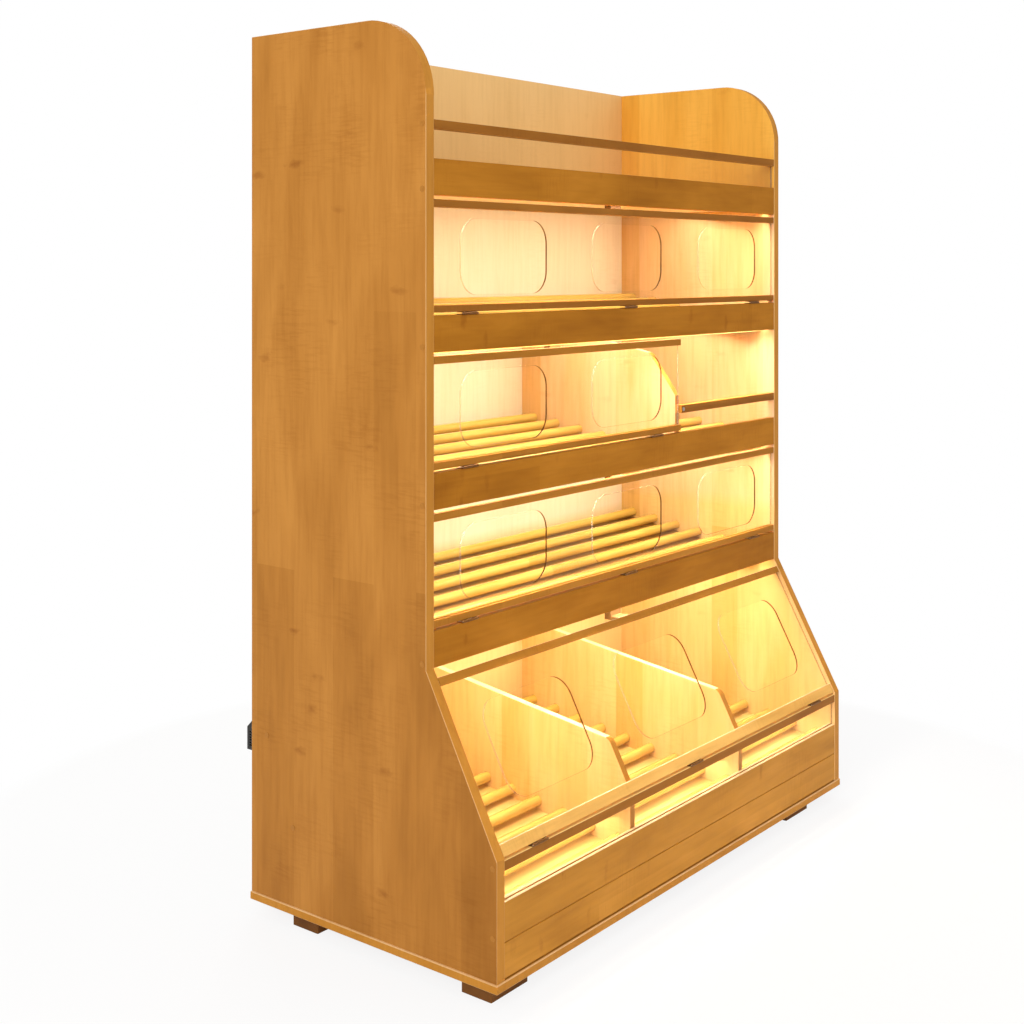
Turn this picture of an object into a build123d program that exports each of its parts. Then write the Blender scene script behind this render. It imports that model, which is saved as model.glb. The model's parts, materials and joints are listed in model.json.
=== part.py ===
from build123d import *
import math
import os

os.makedirs("parts", exist_ok=True)

# Bread display cabinet, millimetres, +Z up, front towards -Y.
# The origin is on the floor, under the middle of the overall outline.

# Cabinet
cabinet_width = 1500.0
cabinet_depth = 698.0
side_thickness = 25.0
side_height = 1905.0
low_knee_rise = 238.0
high_knee_rise = 578.0
knee_run = 182.0
crown_radius = 165.0
board_thickness = 18.0
back_thickness = 8.0
foot_height = 32.0
foot_length = 120.0
foot_depth = 78.0
foot_front_setback = 27.0
foot_back_setback = 113.0
foot_left_setback = 17.0
foot_right_setback = 133.0
foot_chamfer = 3.0
base_thickness = 18.0
base_overhang = 2.0
base_chamfer = 1.5
front_reveal = 1.0
edge_ease = 1.0

# Fascias and tiers
fascia_height = 75.0
tier_pitch = 320.0
tray_drop = 12.0
guard_rail_height = 19.0
guard_gap = 60.0
bar_height = 20.0
bar_rise = 124.0
bar_end_inset = 1.0

# Plinth and fixed lower rail
plinth_gap = 3.0
plinth_lower_height = 70.0
plinth_upper_height = 79.0
plinth_seam = 1.0
fixed_rail_height = 21.0
fixed_rail_drop = 4.0

# Rods and sloped boards
tier_angle = 8.53
rod_radius = 12.5
upper_rod_count = 6
lower_rod_count = 9
rod_back_setback = 39.0
upper_rod_front_setback = 75.0
lower_rod_front_setback = 32.0
upper_rod_rise = 84.0
lower_rod_rise = 213.0
rod_clearance = 0.2
rod_socket_depth = 10.0
socket_sides = 10
crumb_thickness = 9.0
crumb_gap = 4.0
lower_crumb_gap = 7.0
housing_depth = 6.0
housing_clearance = 0.2
seat_gap = 0.3

# Dividers
divider_setback = 2.0
divider_nose_radius = 25.0
upper_divider_front_rise = 168.0
upper_divider_nose_run = 76.0
upper_divider_nose_rise = 105.0
upper_divider_back_rise = 250.0
lower_divider_nose_run = 77.0
lower_divider_back_rise = 89.0

# Clear panes and their grooves
pane_thickness = 4.0
groove_depth = 5.0
groove_clearance = 0.2
cutout_length = 300.0
cutout_height = 160.0
cutout_radius = 50.0
cutout_end_setback = 243.0
cutout_rise = 20.0
slant_cutout_height = 206.0
slant_cutout_drop = 92.0

# Flaps
flap_side_gap = 2.0
flap_hinge_rail = 15.0
flap_handle_rail = 16.0
flap_top_gap = 8.0
slant_handle_drop = 19.0
slant_handle_rail = 17.0
slant_hinge_drop = 358.0

# Hinges
hinge_gap = 6.0
hinge_width = 50.0
hinge_end_setback = 113.0
barrel_radius = 2.8
pin_radius = 1.45
pin_clearance = 0.05
pin_offset = 2.0
barrel_sides = 10
knuckle_gap = 0.3
knuckle_relief = 0.5
knuckle_lap = 1.0
leaf_thickness = 1.5
leaf_depth = 17.0

# Catches
catch_width = 44.0
catch_arm_height = 10.0
catch_leg_depth = 18.0
catch_inset = 1.0
strike_thickness = 1.5
strike_height = 11.0
strike_gap = 0.3

# Lighting
led_width = 20.0
led_height = 10.0
led_wall = 1.2
led_rise = 2.0
led_back_gap = 4.0
diffuser_thickness = 2.0
diffuser_clearance = 0.1

# Fixings
screw_radius = 2.4
screw_hole_radius = 2.5
screw_head_radius = 4.8
screw_head_height = 4.0
screw_length = 55.0
screw_sides = 8
counterbore_radius = 5.0
counterbore_depth = 8.0
cap_radius = 6.0
cap_sides = 12
cap_thickness = 1.2
cap_plug_radius = 4.9
cap_plug_length = 3.0
back_screw_count = 5
back_screw_length = 30.0
back_screw_setback = 100.0
head_taper = 30.0
floor_screw_setback = 566.0
spare_hole_setback = 648.0
spare_hole_rise = 357.0
fascia_screw_rise = 12.0
plinth_screw_rise = 14.0

# Power supply housing
supply_length = 160.0
supply_depth = 46.0
supply_height = 96.0
supply_rise = 300.0
supply_setback = 28.0
supply_chamfer = 45.0
supply_wall = 1.5
vent_count = 9
vent_width = 3.0
side_vent_count = 6
gland_radius = 8.0
gland_height = 20.0
gland_bore_radius = 4.0
gland_neck_radius = 6.0
gland_clearance = 0.1

# Places worked out from the sizes above
front_overhang = max(base_overhang, barrel_radius + pin_offset - front_reveal)
overall_depth = front_overhang + cabinet_depth + supply_depth
front = front_overhang - overall_depth / 2
left = -cabinet_width / 2
right = cabinet_width / 2
inner_left = left + side_thickness
inner_right = right - side_thickness
inner_width = inner_right - inner_left
deck = foot_height + base_thickness
low_knee = deck + low_knee_rise
high_knee = deck + high_knee_rise
crown = deck + side_height
upper_front = front + knee_run
back_outside = front + cabinet_depth
back_inside = back_outside - back_thickness
lean = math.atan2(knee_run, high_knee - low_knee)
slope = math.tan(math.radians(tier_angle))
level = math.cos(math.radians(tier_angle))
face = upper_front + front_reveal
face_back = face + board_thickness
plinth_face = front + front_reveal
plinth_back = plinth_face + board_thickness
pane_setback = (board_thickness - pane_thickness) / 2


def fascia_bottom(tier):
    return high_knee + (4 - tier) * tier_pitch


def slant_point(drop, depth):
    y = upper_front - drop * math.sin(lean) + depth * math.cos(lean)
    z = high_knee - drop * math.cos(lean) - depth * math.sin(lean)
    return (y, z)


def slant_drop(z, depth):
    return (high_knee - z - depth * math.sin(lean)) / math.cos(lean)


def rod_row(tier):
    y_back = back_inside - rod_back_setback
    if tier == 4:
        y_front = plinth_back + lower_rod_front_setback
        z_back = deck + lower_rod_rise
        count = lower_rod_count
    else:
        y_front = face_back + upper_rod_front_setback
        z_back = fascia_bottom(tier + 1) + upper_rod_rise
        count = upper_rod_count
    pitch = (y_back - y_front) / (count - 1)
    return [(y_back - i * pitch, z_back - i * pitch * slope) for i in range(count)]


def board_top(tier, y):
    gap = lower_crumb_gap if tier == 4 else crumb_gap
    y_back, z_back = rod_row(tier)[0]
    return z_back - (y_back - y) * slope - (rod_radius + gap) / level


def board_depth(tier):
    return board_thickness if tier == 4 else crumb_thickness


def board_front(tier):
    return plinth_back if tier == 4 else face_back + led_width + led_back_gap


def board_outline(tier, margin):
    y0 = board_front(tier) - margin
    y1 = back_inside
    drop = board_depth(tier) / level + margin
    return [
        (y0, board_top(tier, y0) + margin),
        (y1, board_top(tier, y1) + margin),
        (y1, board_top(tier, y1) - drop),
        (y0, board_top(tier, y0) - drop),
    ]


def save(piece, name):
    piece.part.label = name
    export_step(piece.part, "parts/" + name + ".step")


# Fixing screws in each side: two places on the front edge, five behind the upper front, two low down
screw_y = face + board_thickness / 2
plinth_screw_y = plinth_face + board_thickness / 2
plinth_lower_bottom = deck + plinth_gap
plinth_upper_bottom = plinth_lower_bottom + plinth_lower_height + plinth_seam
plinth_top = plinth_upper_bottom + plinth_upper_height
fixed_rail_top = low_knee - fixed_rail_drop
fixed_rail_bottom = fixed_rail_top - fixed_rail_height
guard_rail_bottom = fascia_bottom(1) + fascia_height + guard_gap
floor_screw_y = front + floor_screw_setback
floor_screw_z = board_top(4, floor_screw_y) - board_thickness / level / 2
spare_hole = (front + spare_hole_setback, deck + spare_hole_rise)
screw_points = [(screw_y, fascia_bottom(tier) + fascia_screw_rise) for tier in (1, 2, 3, 4)]
screw_points += [
    (screw_y, guard_rail_bottom + guard_rail_height / 2),
    (plinth_screw_y, fixed_rail_bottom + fixed_rail_height / 2),
    (plinth_screw_y, plinth_upper_bottom + plinth_screw_rise),
    (floor_screw_y, floor_screw_z),
]
cap_points = screw_points + [spare_hole]
tray_top = fascia_bottom(1) + tray_drop + board_thickness

# Side panels: one outline with two knees and a rounded crown, bored for rods, boards and screws
with BuildPart() as side_panel_left:
    with BuildSketch(Plane.YZ.offset(left)):
        with BuildLine():
            Polyline(
                (front, deck),
                (front, low_knee),
                (upper_front, high_knee),
                (upper_front, crown - crown_radius),
            )
            RadiusArc(
                (upper_front, crown - crown_radius), (upper_front + crown_radius, crown), crown_radius
            )
            Polyline((upper_front + crown_radius, crown), (back_outside, crown), (back_outside, deck))
            Line((back_outside, deck), (front, deck))
        make_face()
    extrude(amount=side_thickness)
    for tier in (1, 2, 3, 4):
        with BuildSketch(Plane.YZ.offset(inner_left)):
            with Locations(*rod_row(tier)):
                RegularPolygon(rod_radius + rod_clearance, socket_sides, major_radius=False)
        extrude(amount=-rod_socket_depth, mode=Mode.SUBTRACT)
        with BuildSketch(Plane.YZ.offset(inner_left)):
            Polygon(*board_outline(tier, housing_clearance), align=None)
        extrude(amount=-housing_depth, mode=Mode.SUBTRACT)
    with BuildSketch(Plane.YZ.offset(inner_left)):
        with Locations(((face_back + back_inside) / 2, tray_top - board_thickness / 2)):
            Rectangle(
                back_inside - face_back + 2 * housing_clearance, board_thickness + 2 * housing_clearance
            )
    extrude(amount=-housing_depth, mode=Mode.SUBTRACT)
    with BuildSketch(Plane.YZ.offset(left)):
        with Locations(*cap_points):
            RegularPolygon(counterbore_radius, screw_sides, major_radius=False)
    extrude(amount=counterbore_depth, mode=Mode.SUBTRACT)
    with BuildSketch(Plane.YZ.offset(left)):
        with Locations(*screw_points):
            RegularPolygon(screw_hole_radius, screw_sides, major_radius=False)
    extrude(amount=side_thickness, mode=Mode.SUBTRACT)
save(side_panel_left, "side_panel_left")

with BuildPart() as side_panel_right:
    mirror(side_panel_left.part, about=Plane.YZ)
save(side_panel_right, "side_panel_right")

# Base board under the whole cabinet, with an eased top edge
with BuildPart() as base_board:
    base_length = cabinet_width + 2 * base_overhang
    base_depth = cabinet_depth + 2 * base_overhang
    with BuildSketch(Plane.XY.offset(foot_height)):
        with Locations((0, front - base_overhang + base_depth / 2)):
            Rectangle(base_length, base_depth)
    extrude(amount=base_thickness)
    chamfer(base_board.faces().sort_by(Axis.Z)[-1].edges(), base_chamfer)
save(base_board, "base_board")

# Four foot blocks
foot_x = [left + foot_left_setback + foot_length / 2, right - foot_right_setback - foot_length / 2]
foot_y = [
    front + foot_front_setback + foot_depth / 2,
    back_outside - foot_back_setback - foot_depth / 2,
]
with BuildPart() as foot_blocks:
    with BuildSketch():
        with Locations(*[(x, y) for x in foot_x for y in foot_y]):
            Rectangle(foot_length, foot_depth)
    extrude(amount=foot_height)
    chamfer(foot_blocks.edges().filter_by(Axis.Z), foot_chamfer)
save(foot_blocks, "foot_blocks")


def board_screw_points(y):
    step = (inner_width - 2 * back_screw_setback) / (back_screw_count - 1)
    xs = [inner_left + back_screw_setback + i * step for i in range(back_screw_count)]
    return [(-x, y) for x in xs]


# Back panel, with screw holes into the tray board and the lowest floor
back_screw_rows = [
    tray_top - board_thickness / 2,
    board_top(4, back_inside) - board_thickness / level / 2,
]
back_plane = Plane(origin=(0, back_outside, 0), x_dir=(-1, 0, 0), z_dir=(0, 1, 0))
with BuildPart() as back_panel:
    with BuildSketch(back_plane):
        with Locations((0, (deck + crown) / 2)):
            Rectangle(inner_width, crown - deck)
    extrude(amount=-back_thickness)
    for z in back_screw_rows:
        with BuildSketch(back_plane):
            with Locations(*board_screw_points(z)):
                RegularPolygon(screw_hole_radius, screw_sides, major_radius=False)
        extrude(amount=-back_thickness, mode=Mode.SUBTRACT)
save(back_panel, "back_panel")

# Round-headed screws through the back panel
with BuildPart() as back_panel_screws:
    for z in back_screw_rows:
        with BuildSketch(back_plane.offset(-back_screw_length)):
            with Locations(*board_screw_points(z)):
                RegularPolygon(screw_radius, screw_sides)
        extrude(amount=back_screw_length)
        with BuildSketch(back_plane):
            with Locations(*board_screw_points(z)):
                RegularPolygon(screw_head_radius, screw_sides)
        extrude(amount=screw_head_height / 2, taper=head_taper)
save(back_panel_screws, "back_panel_screws")

# Tray board: the floor of the top tray, housed in the side panels
board_length = inner_width + 2 * (housing_depth - seat_gap)
with BuildPart() as top_board:
    with BuildSketch(Plane.XY.offset(tray_top)):
        with Locations((0, (face_back + back_inside) / 2)):
            Rectangle(board_length, back_inside - face_back)
    extrude(amount=-board_thickness)
    with BuildSketch(back_plane.offset(-back_thickness)):
        with Locations(*board_screw_points(back_screw_rows[0])):
            RegularPolygon(screw_hole_radius, screw_sides, major_radius=False)
    extrude(amount=-(back_screw_length - back_thickness), mode=Mode.SUBTRACT)
save(top_board, "top_board")


def front_board(y, z, height, x0, x1):
    with BuildSketch(Plane.YZ.offset(x0)) as section:
        with Locations((y + board_thickness / 2, z + height / 2)):
            Rectangle(board_thickness, height)
    extrude(section.sketch, amount=x1 - x0)


def ease_front(piece):
    edges = piece.edges().filter_by(Axis.X).group_by(Axis.Y)[0]
    chamfer(edges, edge_ease)


def end_holes(y, z):
    depth = screw_length - side_thickness
    for plane in (Plane.YZ.offset(inner_left), Plane.YZ.offset(inner_right)):
        with BuildSketch(plane) as hole:
            with Locations((y, z)):
                RegularPolygon(screw_hole_radius, screw_sides, major_radius=False)
        extrude(hole.sketch, amount=depth, both=True, mode=Mode.SUBTRACT)


def groove(y, z, depth, x0, x1):
    with BuildSketch(Plane.YZ.offset(x0)) as slot:
        with Locations((y + board_thickness / 2, z + depth / 2)):
            Rectangle(pane_thickness + 2 * groove_clearance, abs(depth))
    extrude(slot.sketch, amount=x1 - x0, mode=Mode.SUBTRACT)


# Fascias of the four tiers
with BuildPart() as top_fascia:
    front_board(face, fascia_bottom(1), fascia_height, inner_left, inner_right)
    ease_front(top_fascia)
    end_holes(screw_y, fascia_bottom(1) + fascia_screw_rise)
    groove(face, fascia_bottom(1) + fascia_height, -groove_depth, inner_left, inner_right)
save(top_fascia, "top_fascia")

with BuildPart() as second_fascia:
    front_board(face, fascia_bottom(2), fascia_height, inner_left, inner_right)
    ease_front(second_fascia)
    end_holes(screw_y, fascia_bottom(2) + fascia_screw_rise)
save(second_fascia, "second_fascia")

with BuildPart() as third_fascia:
    front_board(face, fascia_bottom(3), fascia_height, inner_left, inner_right)
    ease_front(third_fascia)
    end_holes(screw_y, fascia_bottom(3) + fascia_screw_rise)
save(third_fascia, "third_fascia")

with BuildPart() as fourth_fascia:
    front_board(face, fascia_bottom(4), fascia_height, inner_left, inner_right)
    ease_front(fourth_fascia)
    end_holes(screw_y, fascia_bottom(4) + fascia_screw_rise)
save(fourth_fascia, "fourth_fascia")

# Guard rail of the tray and its clear pane
with BuildPart() as top_guard_rail:
    front_board(face, guard_rail_bottom, guard_rail_height, inner_left, inner_right)
    ease_front(top_guard_rail)
    end_holes(screw_y, guard_rail_bottom + guard_rail_height / 2)
    groove(face, guard_rail_bottom, groove_depth, inner_left, inner_right)
save(top_guard_rail, "top_guard_rail")

with BuildPart() as top_guard_pane:
    with BuildSketch(Plane.XZ.offset(-(face + pane_setback))):
        with Locations((0, guard_rail_bottom - guard_gap / 2)):
            Rectangle(inner_width - 2 * seat_gap, guard_gap + 2 * (groove_depth - seat_gap))
    extrude(amount=-pane_thickness)
save(top_guard_pane, "top_guard_pane")

# Plinth boards, clear strip and fixed rail under the slanted flap
with BuildPart() as plinth_lower_board:
    front_board(plinth_face, plinth_lower_bottom, plinth_lower_height, inner_left, inner_right)
    ease_front(plinth_lower_board)
save(plinth_lower_board, "plinth_lower_board")

with BuildPart() as plinth_upper_board:
    front_board(plinth_face, plinth_upper_bottom, plinth_upper_height, inner_left, inner_right)
    ease_front(plinth_upper_board)
    end_holes(plinth_screw_y, plinth_upper_bottom + plinth_screw_rise)
    groove(plinth_face, plinth_top, -groove_depth, inner_left, inner_right)
save(plinth_upper_board, "plinth_upper_board")

with BuildPart() as fixed_lower_rail:
    front_board(plinth_face, fixed_rail_bottom, fixed_rail_height, inner_left, inner_right)
    ease_front(fixed_lower_rail)
    end_holes(plinth_screw_y, fixed_rail_bottom + fixed_rail_height / 2)
    groove(plinth_face, fixed_rail_bottom, groove_depth, inner_left, inner_right)
save(fixed_lower_rail, "fixed_lower_rail")

with BuildPart() as lower_window_pane:
    window_height = fixed_rail_bottom - plinth_top
    with BuildSketch(Plane.XZ.offset(-(plinth_face + pane_setback))):
        with Locations((0, plinth_top + window_height / 2)):
            Rectangle(inner_width - 2 * seat_gap, window_height + 2 * (groove_depth - seat_gap))
    extrude(amount=-pane_thickness)
save(lower_window_pane, "lower_window_pane")


def crumb_board(tier):
    with BuildSketch(Plane.YZ.offset(-board_length / 2)) as section:
        Polygon(*board_outline(tier, 0), align=None)
    extrude(section.sketch, amount=board_length)


# Sloped boards under the rods
with BuildPart() as first_tier_crumb_board:
    crumb_board(1)
save(first_tier_crumb_board, "first_tier_crumb_board")

with BuildPart() as second_tier_crumb_board:
    crumb_board(2)
save(second_tier_crumb_board, "second_tier_crumb_board")

with BuildPart() as third_tier_crumb_board:
    crumb_board(3)
save(third_tier_crumb_board, "third_tier_crumb_board")

with BuildPart() as fourth_tier_crumb_board:
    crumb_board(4)
    end_holes(floor_screw_y, floor_screw_z)
    with BuildSketch(back_plane.offset(-back_thickness)):
        with Locations(*board_screw_points(back_screw_rows[1])):
            RegularPolygon(screw_hole_radius, screw_sides, major_radius=False)
    extrude(amount=-(back_screw_length - back_thickness), mode=Mode.SUBTRACT)
save(fourth_tier_crumb_board, "fourth_tier_crumb_board")


def rods(tier):
    length = inner_width + 2 * (rod_socket_depth - seat_gap)
    with BuildSketch(Plane.YZ.offset(-length / 2)) as sections:
        with Locations(*rod_row(tier)):
            Circle(rod_radius)
    extrude(sections.sketch, amount=length)


# Round rods, let into the side panels
with BuildPart() as first_tier_rods:
    rods(1)
save(first_tier_rods, "first_tier_rods")

with BuildPart() as second_tier_rods:
    rods(2)
save(second_tier_rods, "second_tier_rods")

with BuildPart() as third_tier_rods:
    rods(3)
save(third_tier_rods, "third_tier_rods")

with BuildPart() as fourth_tier_rods:
    rods(4)
save(fourth_tier_rods, "fourth_tier_rods")

# Divider of the second tier: open-fronted, threaded by the rods, standing on the sloped board
bay_split = inner_left + 2 * inner_width / 3
third_bottom = fascia_bottom(3)
led_top = led_rise + led_height
with BuildPart() as second_tier_divider:
    with BuildSketch(Plane.YZ.offset(bay_split - board_thickness / 2)):
        with BuildLine():
            Polyline(
                (face_back, third_bottom + led_top + divider_setback),
                (face_back, third_bottom + upper_divider_front_rise),
                (face_back + upper_divider_nose_run, third_bottom + upper_divider_front_rise
                 + upper_divider_nose_rise),
                (back_inside, third_bottom + upper_divider_back_rise + upper_divider_nose_rise),
                (back_inside, board_top(2, back_inside)),
                (board_front(2), board_top(2, board_front(2))),
                (board_front(2), third_bottom + led_top + divider_setback),
                close=True,
            )
        make_face()
    extrude(amount=board_thickness)
    nose_edge = (
        second_tier_divider.edges()
        .filter_by(Axis.X)
        .sort_by_distance(
            (
                bay_split,
                face_back + upper_divider_nose_run,
                third_bottom + upper_divider_front_rise + upper_divider_nose_rise,
            )
        )[0]
    )
    fillet(nose_edge, divider_nose_radius)
    with BuildSketch(Plane.YZ.offset(bay_split - board_thickness / 2)):
        with Locations(*rod_row(2)):
            RegularPolygon(rod_radius + rod_clearance, socket_sides, major_radius=False)
    extrude(amount=board_thickness, mode=Mode.SUBTRACT)
save(second_tier_divider, "second_tier_divider")

# Dividers of the lowest tier: front edge parallel to the slanted flap, threaded by the rods
lower_divider_front = plinth_back + divider_setback - front_reveal
lower_divider_slant = lower_divider_front - front


def slant_z(y, depth):
    drop = (upper_front + depth * math.cos(lean) - y) / math.sin(lean)
    return slant_point(drop, depth)[1]


lower_nose = (
    front + lower_divider_nose_run,
    slant_z(front + lower_divider_nose_run, lower_divider_slant),
)
lower_divider_knee = slant_z(lower_divider_front, lower_divider_slant)


def lower_divider(x):
    with BuildSketch(Plane.YZ.offset(x - board_thickness / 2)) as section:
        Polygon(
            (lower_divider_front, board_top(4, lower_divider_front)),
            (lower_divider_front, lower_divider_knee),
            lower_nose,
            (back_inside, lower_nose[1] + lower_divider_back_rise),
            (back_inside, board_top(4, back_inside)),
            align=None,
        )
        corner = section.vertices().sort_by_distance((lower_nose[0], lower_nose[1], 0))[0]
        fillet(corner, divider_nose_radius)
        with Locations(*rod_row(4)):
            RegularPolygon(
                rod_radius + rod_clearance, socket_sides, major_radius=False, mode=Mode.SUBTRACT
            )
    extrude(section.sketch, amount=board_thickness)


with BuildPart() as fourth_tier_divider_left:
    lower_divider(-bay_split)
save(fourth_tier_divider_left, "fourth_tier_divider_left")

with BuildPart() as fourth_tier_divider_right:
    lower_divider(bay_split)
save(fourth_tier_divider_right, "fourth_tier_divider_right")

# Bar across the open bay of the second tier, screwed to the divider's front edge
bar_left = bay_split - board_thickness / 2 + bar_end_inset
bar_bottom = third_bottom + bar_rise
bar_screw_x = bay_split
with BuildPart() as bay_guard_bar:
    front_board(face, bar_bottom, bar_height, bar_left, inner_right)
    ease_front(bay_guard_bar)
    with BuildSketch(Plane.XZ.offset(-face)):
        with Locations((bar_screw_x, bar_bottom + bar_height / 2)):
            RegularPolygon(screw_hole_radius, screw_sides, major_radius=False)
    extrude(amount=-board_thickness, mode=Mode.SUBTRACT)
save(bay_guard_bar, "bay_guard_bar")

# Flaps one to three stand upright between two fascias; flap two covers two bays of three
flap_left = inner_left + flap_side_gap
flap_right = inner_right - flap_side_gap
short_flap_right = bay_split - board_thickness / 2 - flap_side_gap
flap_ends = {1: flap_right, 2: short_flap_right, 3: flap_right, 4: flap_right}
flap_window_height = tier_pitch - fascia_height - hinge_gap - flap_top_gap
flap_window_height -= flap_hinge_rail + flap_handle_rail


def flap_foot(tier):
    return fascia_bottom(tier + 1) + fascia_height + hinge_gap


def cutout_centres(tier):
    outer = flap_right - cutout_end_setback
    centres = [-outer, 0, outer]
    return [x for x in centres if x + cutout_length / 2 < flap_ends[tier]]


def flap_rail(tier, z, height, groove_at, groove_sense):
    front_board(face, z, height, flap_left, flap_ends[tier])
    groove(face, groove_at, groove_sense * groove_depth, flap_left, flap_ends[tier])


def flap_pane(tier):
    length = flap_ends[tier] - flap_left - 2 * seat_gap
    middle = (flap_ends[tier] + flap_left) / 2
    foot = flap_foot(tier) + flap_hinge_rail
    with BuildSketch(Plane.XZ.offset(-(face + pane_setback))) as outline:
        with Locations((middle, foot + flap_window_height / 2)):
            Rectangle(length, flap_window_height + 2 * (groove_depth - seat_gap))
        with Locations(*[(x, foot + cutout_rise + cutout_height / 2) for x in cutout_centres(tier)]):
            RectangleRounded(cutout_length, cutout_height, cutout_radius, mode=Mode.SUBTRACT)
    extrude(outline.sketch, amount=-pane_thickness)


with BuildPart() as flap_1_hinge_rail:
    foot = flap_foot(1)
    flap_rail(1, foot, flap_hinge_rail, foot + flap_hinge_rail, -1)
    ease_front(flap_1_hinge_rail)
save(flap_1_hinge_rail, "flap_1_hinge_rail")

with BuildPart() as flap_2_hinge_rail:
    foot = flap_foot(2)
    flap_rail(2, foot, flap_hinge_rail, foot + flap_hinge_rail, -1)
    ease_front(flap_2_hinge_rail)
save(flap_2_hinge_rail, "flap_2_hinge_rail")

with BuildPart() as flap_3_hinge_rail:
    foot = flap_foot(3)
    flap_rail(3, foot, flap_hinge_rail, foot + flap_hinge_rail, -1)
    ease_front(flap_3_hinge_rail)
save(flap_3_hinge_rail, "flap_3_hinge_rail")

with BuildPart() as flap_1_handle_rail:
    foot = flap_foot(1) + flap_hinge_rail + flap_window_height
    flap_rail(1, foot, flap_handle_rail, foot, 1)
    ease_front(flap_1_handle_rail)
save(flap_1_handle_rail, "flap_1_handle_rail")

with BuildPart() as flap_2_handle_rail:
    foot = flap_foot(2) + flap_hinge_rail + flap_window_height
    flap_rail(2, foot, flap_handle_rail, foot, 1)
    ease_front(flap_2_handle_rail)
save(flap_2_handle_rail, "flap_2_handle_rail")

with BuildPart() as flap_3_handle_rail:
    foot = flap_foot(3) + flap_hinge_rail + flap_window_height
    flap_rail(3, foot, flap_handle_rail, foot, 1)
    ease_front(flap_3_handle_rail)
save(flap_3_handle_rail, "flap_3_handle_rail")

with BuildPart() as flap_1_pane:
    flap_pane(1)
save(flap_1_pane, "flap_1_pane")

with BuildPart() as flap_2_pane:
    flap_pane(2)
save(flap_2_pane, "flap_2_pane")

with BuildPart() as flap_3_pane:
    flap_pane(3)
save(flap_3_pane, "flap_3_pane")

# Flap four lies on the slant between the knees; its hinge rail is bevelled level at the foot
slant_plane = Plane(
    origin=(0, upper_front, high_knee),
    x_dir=(1, 0, 0),
    z_dir=(0, -math.cos(lean), math.sin(lean)),
)
slant_depth = front_reveal + board_thickness
slant_foot = fixed_rail_top + hinge_gap
slant_length = flap_right - flap_left
slant_pane_plane = slant_plane.offset(-front_reveal - pane_setback)


def slant_groove(drop, depth):
    middle = front_reveal + board_thickness / 2
    half = pane_thickness / 2 + groove_clearance
    with BuildSketch(Plane.YZ.offset(flap_left)) as slot:
        Polygon(
            slant_point(drop, middle - half),
            slant_point(drop, middle + half),
            slant_point(drop + depth, middle + half),
            slant_point(drop + depth, middle - half),
            align=None,
        )
    extrude(slot.sketch, amount=slant_length, mode=Mode.SUBTRACT)


with BuildPart() as flap_4_hinge_rail:
    with BuildSketch(Plane.YZ.offset(flap_left)):
        Polygon(
            slant_point(slant_hinge_drop, front_reveal),
            slant_point(slant_hinge_drop, slant_depth),
            slant_point(slant_drop(slant_foot, slant_depth), slant_depth),
            slant_point(slant_drop(slant_foot, front_reveal), front_reveal),
            align=None,
        )
    extrude(amount=slant_length)
    slant_groove(slant_hinge_drop, groove_depth)
save(flap_4_hinge_rail, "flap_4_hinge_rail")

slant_handle_foot = slant_handle_drop + slant_handle_rail
with BuildPart() as flap_4_handle_rail:
    with BuildSketch(slant_plane.offset(-front_reveal)):
        with Locations((0, -slant_handle_drop - slant_handle_rail / 2)):
            Rectangle(slant_length, slant_handle_rail)
    extrude(amount=-board_thickness)
    slant_groove(slant_handle_foot, -groove_depth)
save(flap_4_handle_rail, "flap_4_handle_rail")

with BuildPart() as flap_4_pane:
    slant_window = slant_hinge_drop - slant_handle_foot
    with BuildSketch(slant_pane_plane):
        with Locations((0, -slant_handle_foot - slant_window / 2)):
            Rectangle(slant_length - 2 * seat_gap, slant_window + 2 * (groove_depth - seat_gap))
        with Locations(
            *[(x, -slant_cutout_drop - slant_cutout_height / 2) for x in cutout_centres(4)]
        ):
            RectangleRounded(cutout_length, slant_cutout_height, cutout_radius, mode=Mode.SUBTRACT)
    extrude(amount=-pane_thickness)
save(flap_4_pane, "flap_4_pane")

# Butt hinges in the gap under each flap: the pin lies just in front of the boards
# The fixed leaf grips the pin in flat-sided bores; the moving leaf turns on it in a round one
pin_places = {
    1: (face - pin_offset, flap_foot(1) - hinge_gap / 2),
    2: (face - pin_offset, flap_foot(2) - hinge_gap / 2),
    3: (face - pin_offset, flap_foot(3) - hinge_gap / 2),
    4: (plinth_face - pin_offset, fixed_rail_top + hinge_gap / 2),
}
middle_knuckle = hinge_width / 3
end_knuckle = (hinge_width - middle_knuckle) / 2 - knuckle_gap


def hinge_places(tier):
    first = flap_left + hinge_end_setback
    last = flap_ends[tier] - hinge_end_setback
    if tier == 2:
        return [first, last]
    return [first, (first + last) / 2, last]


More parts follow.
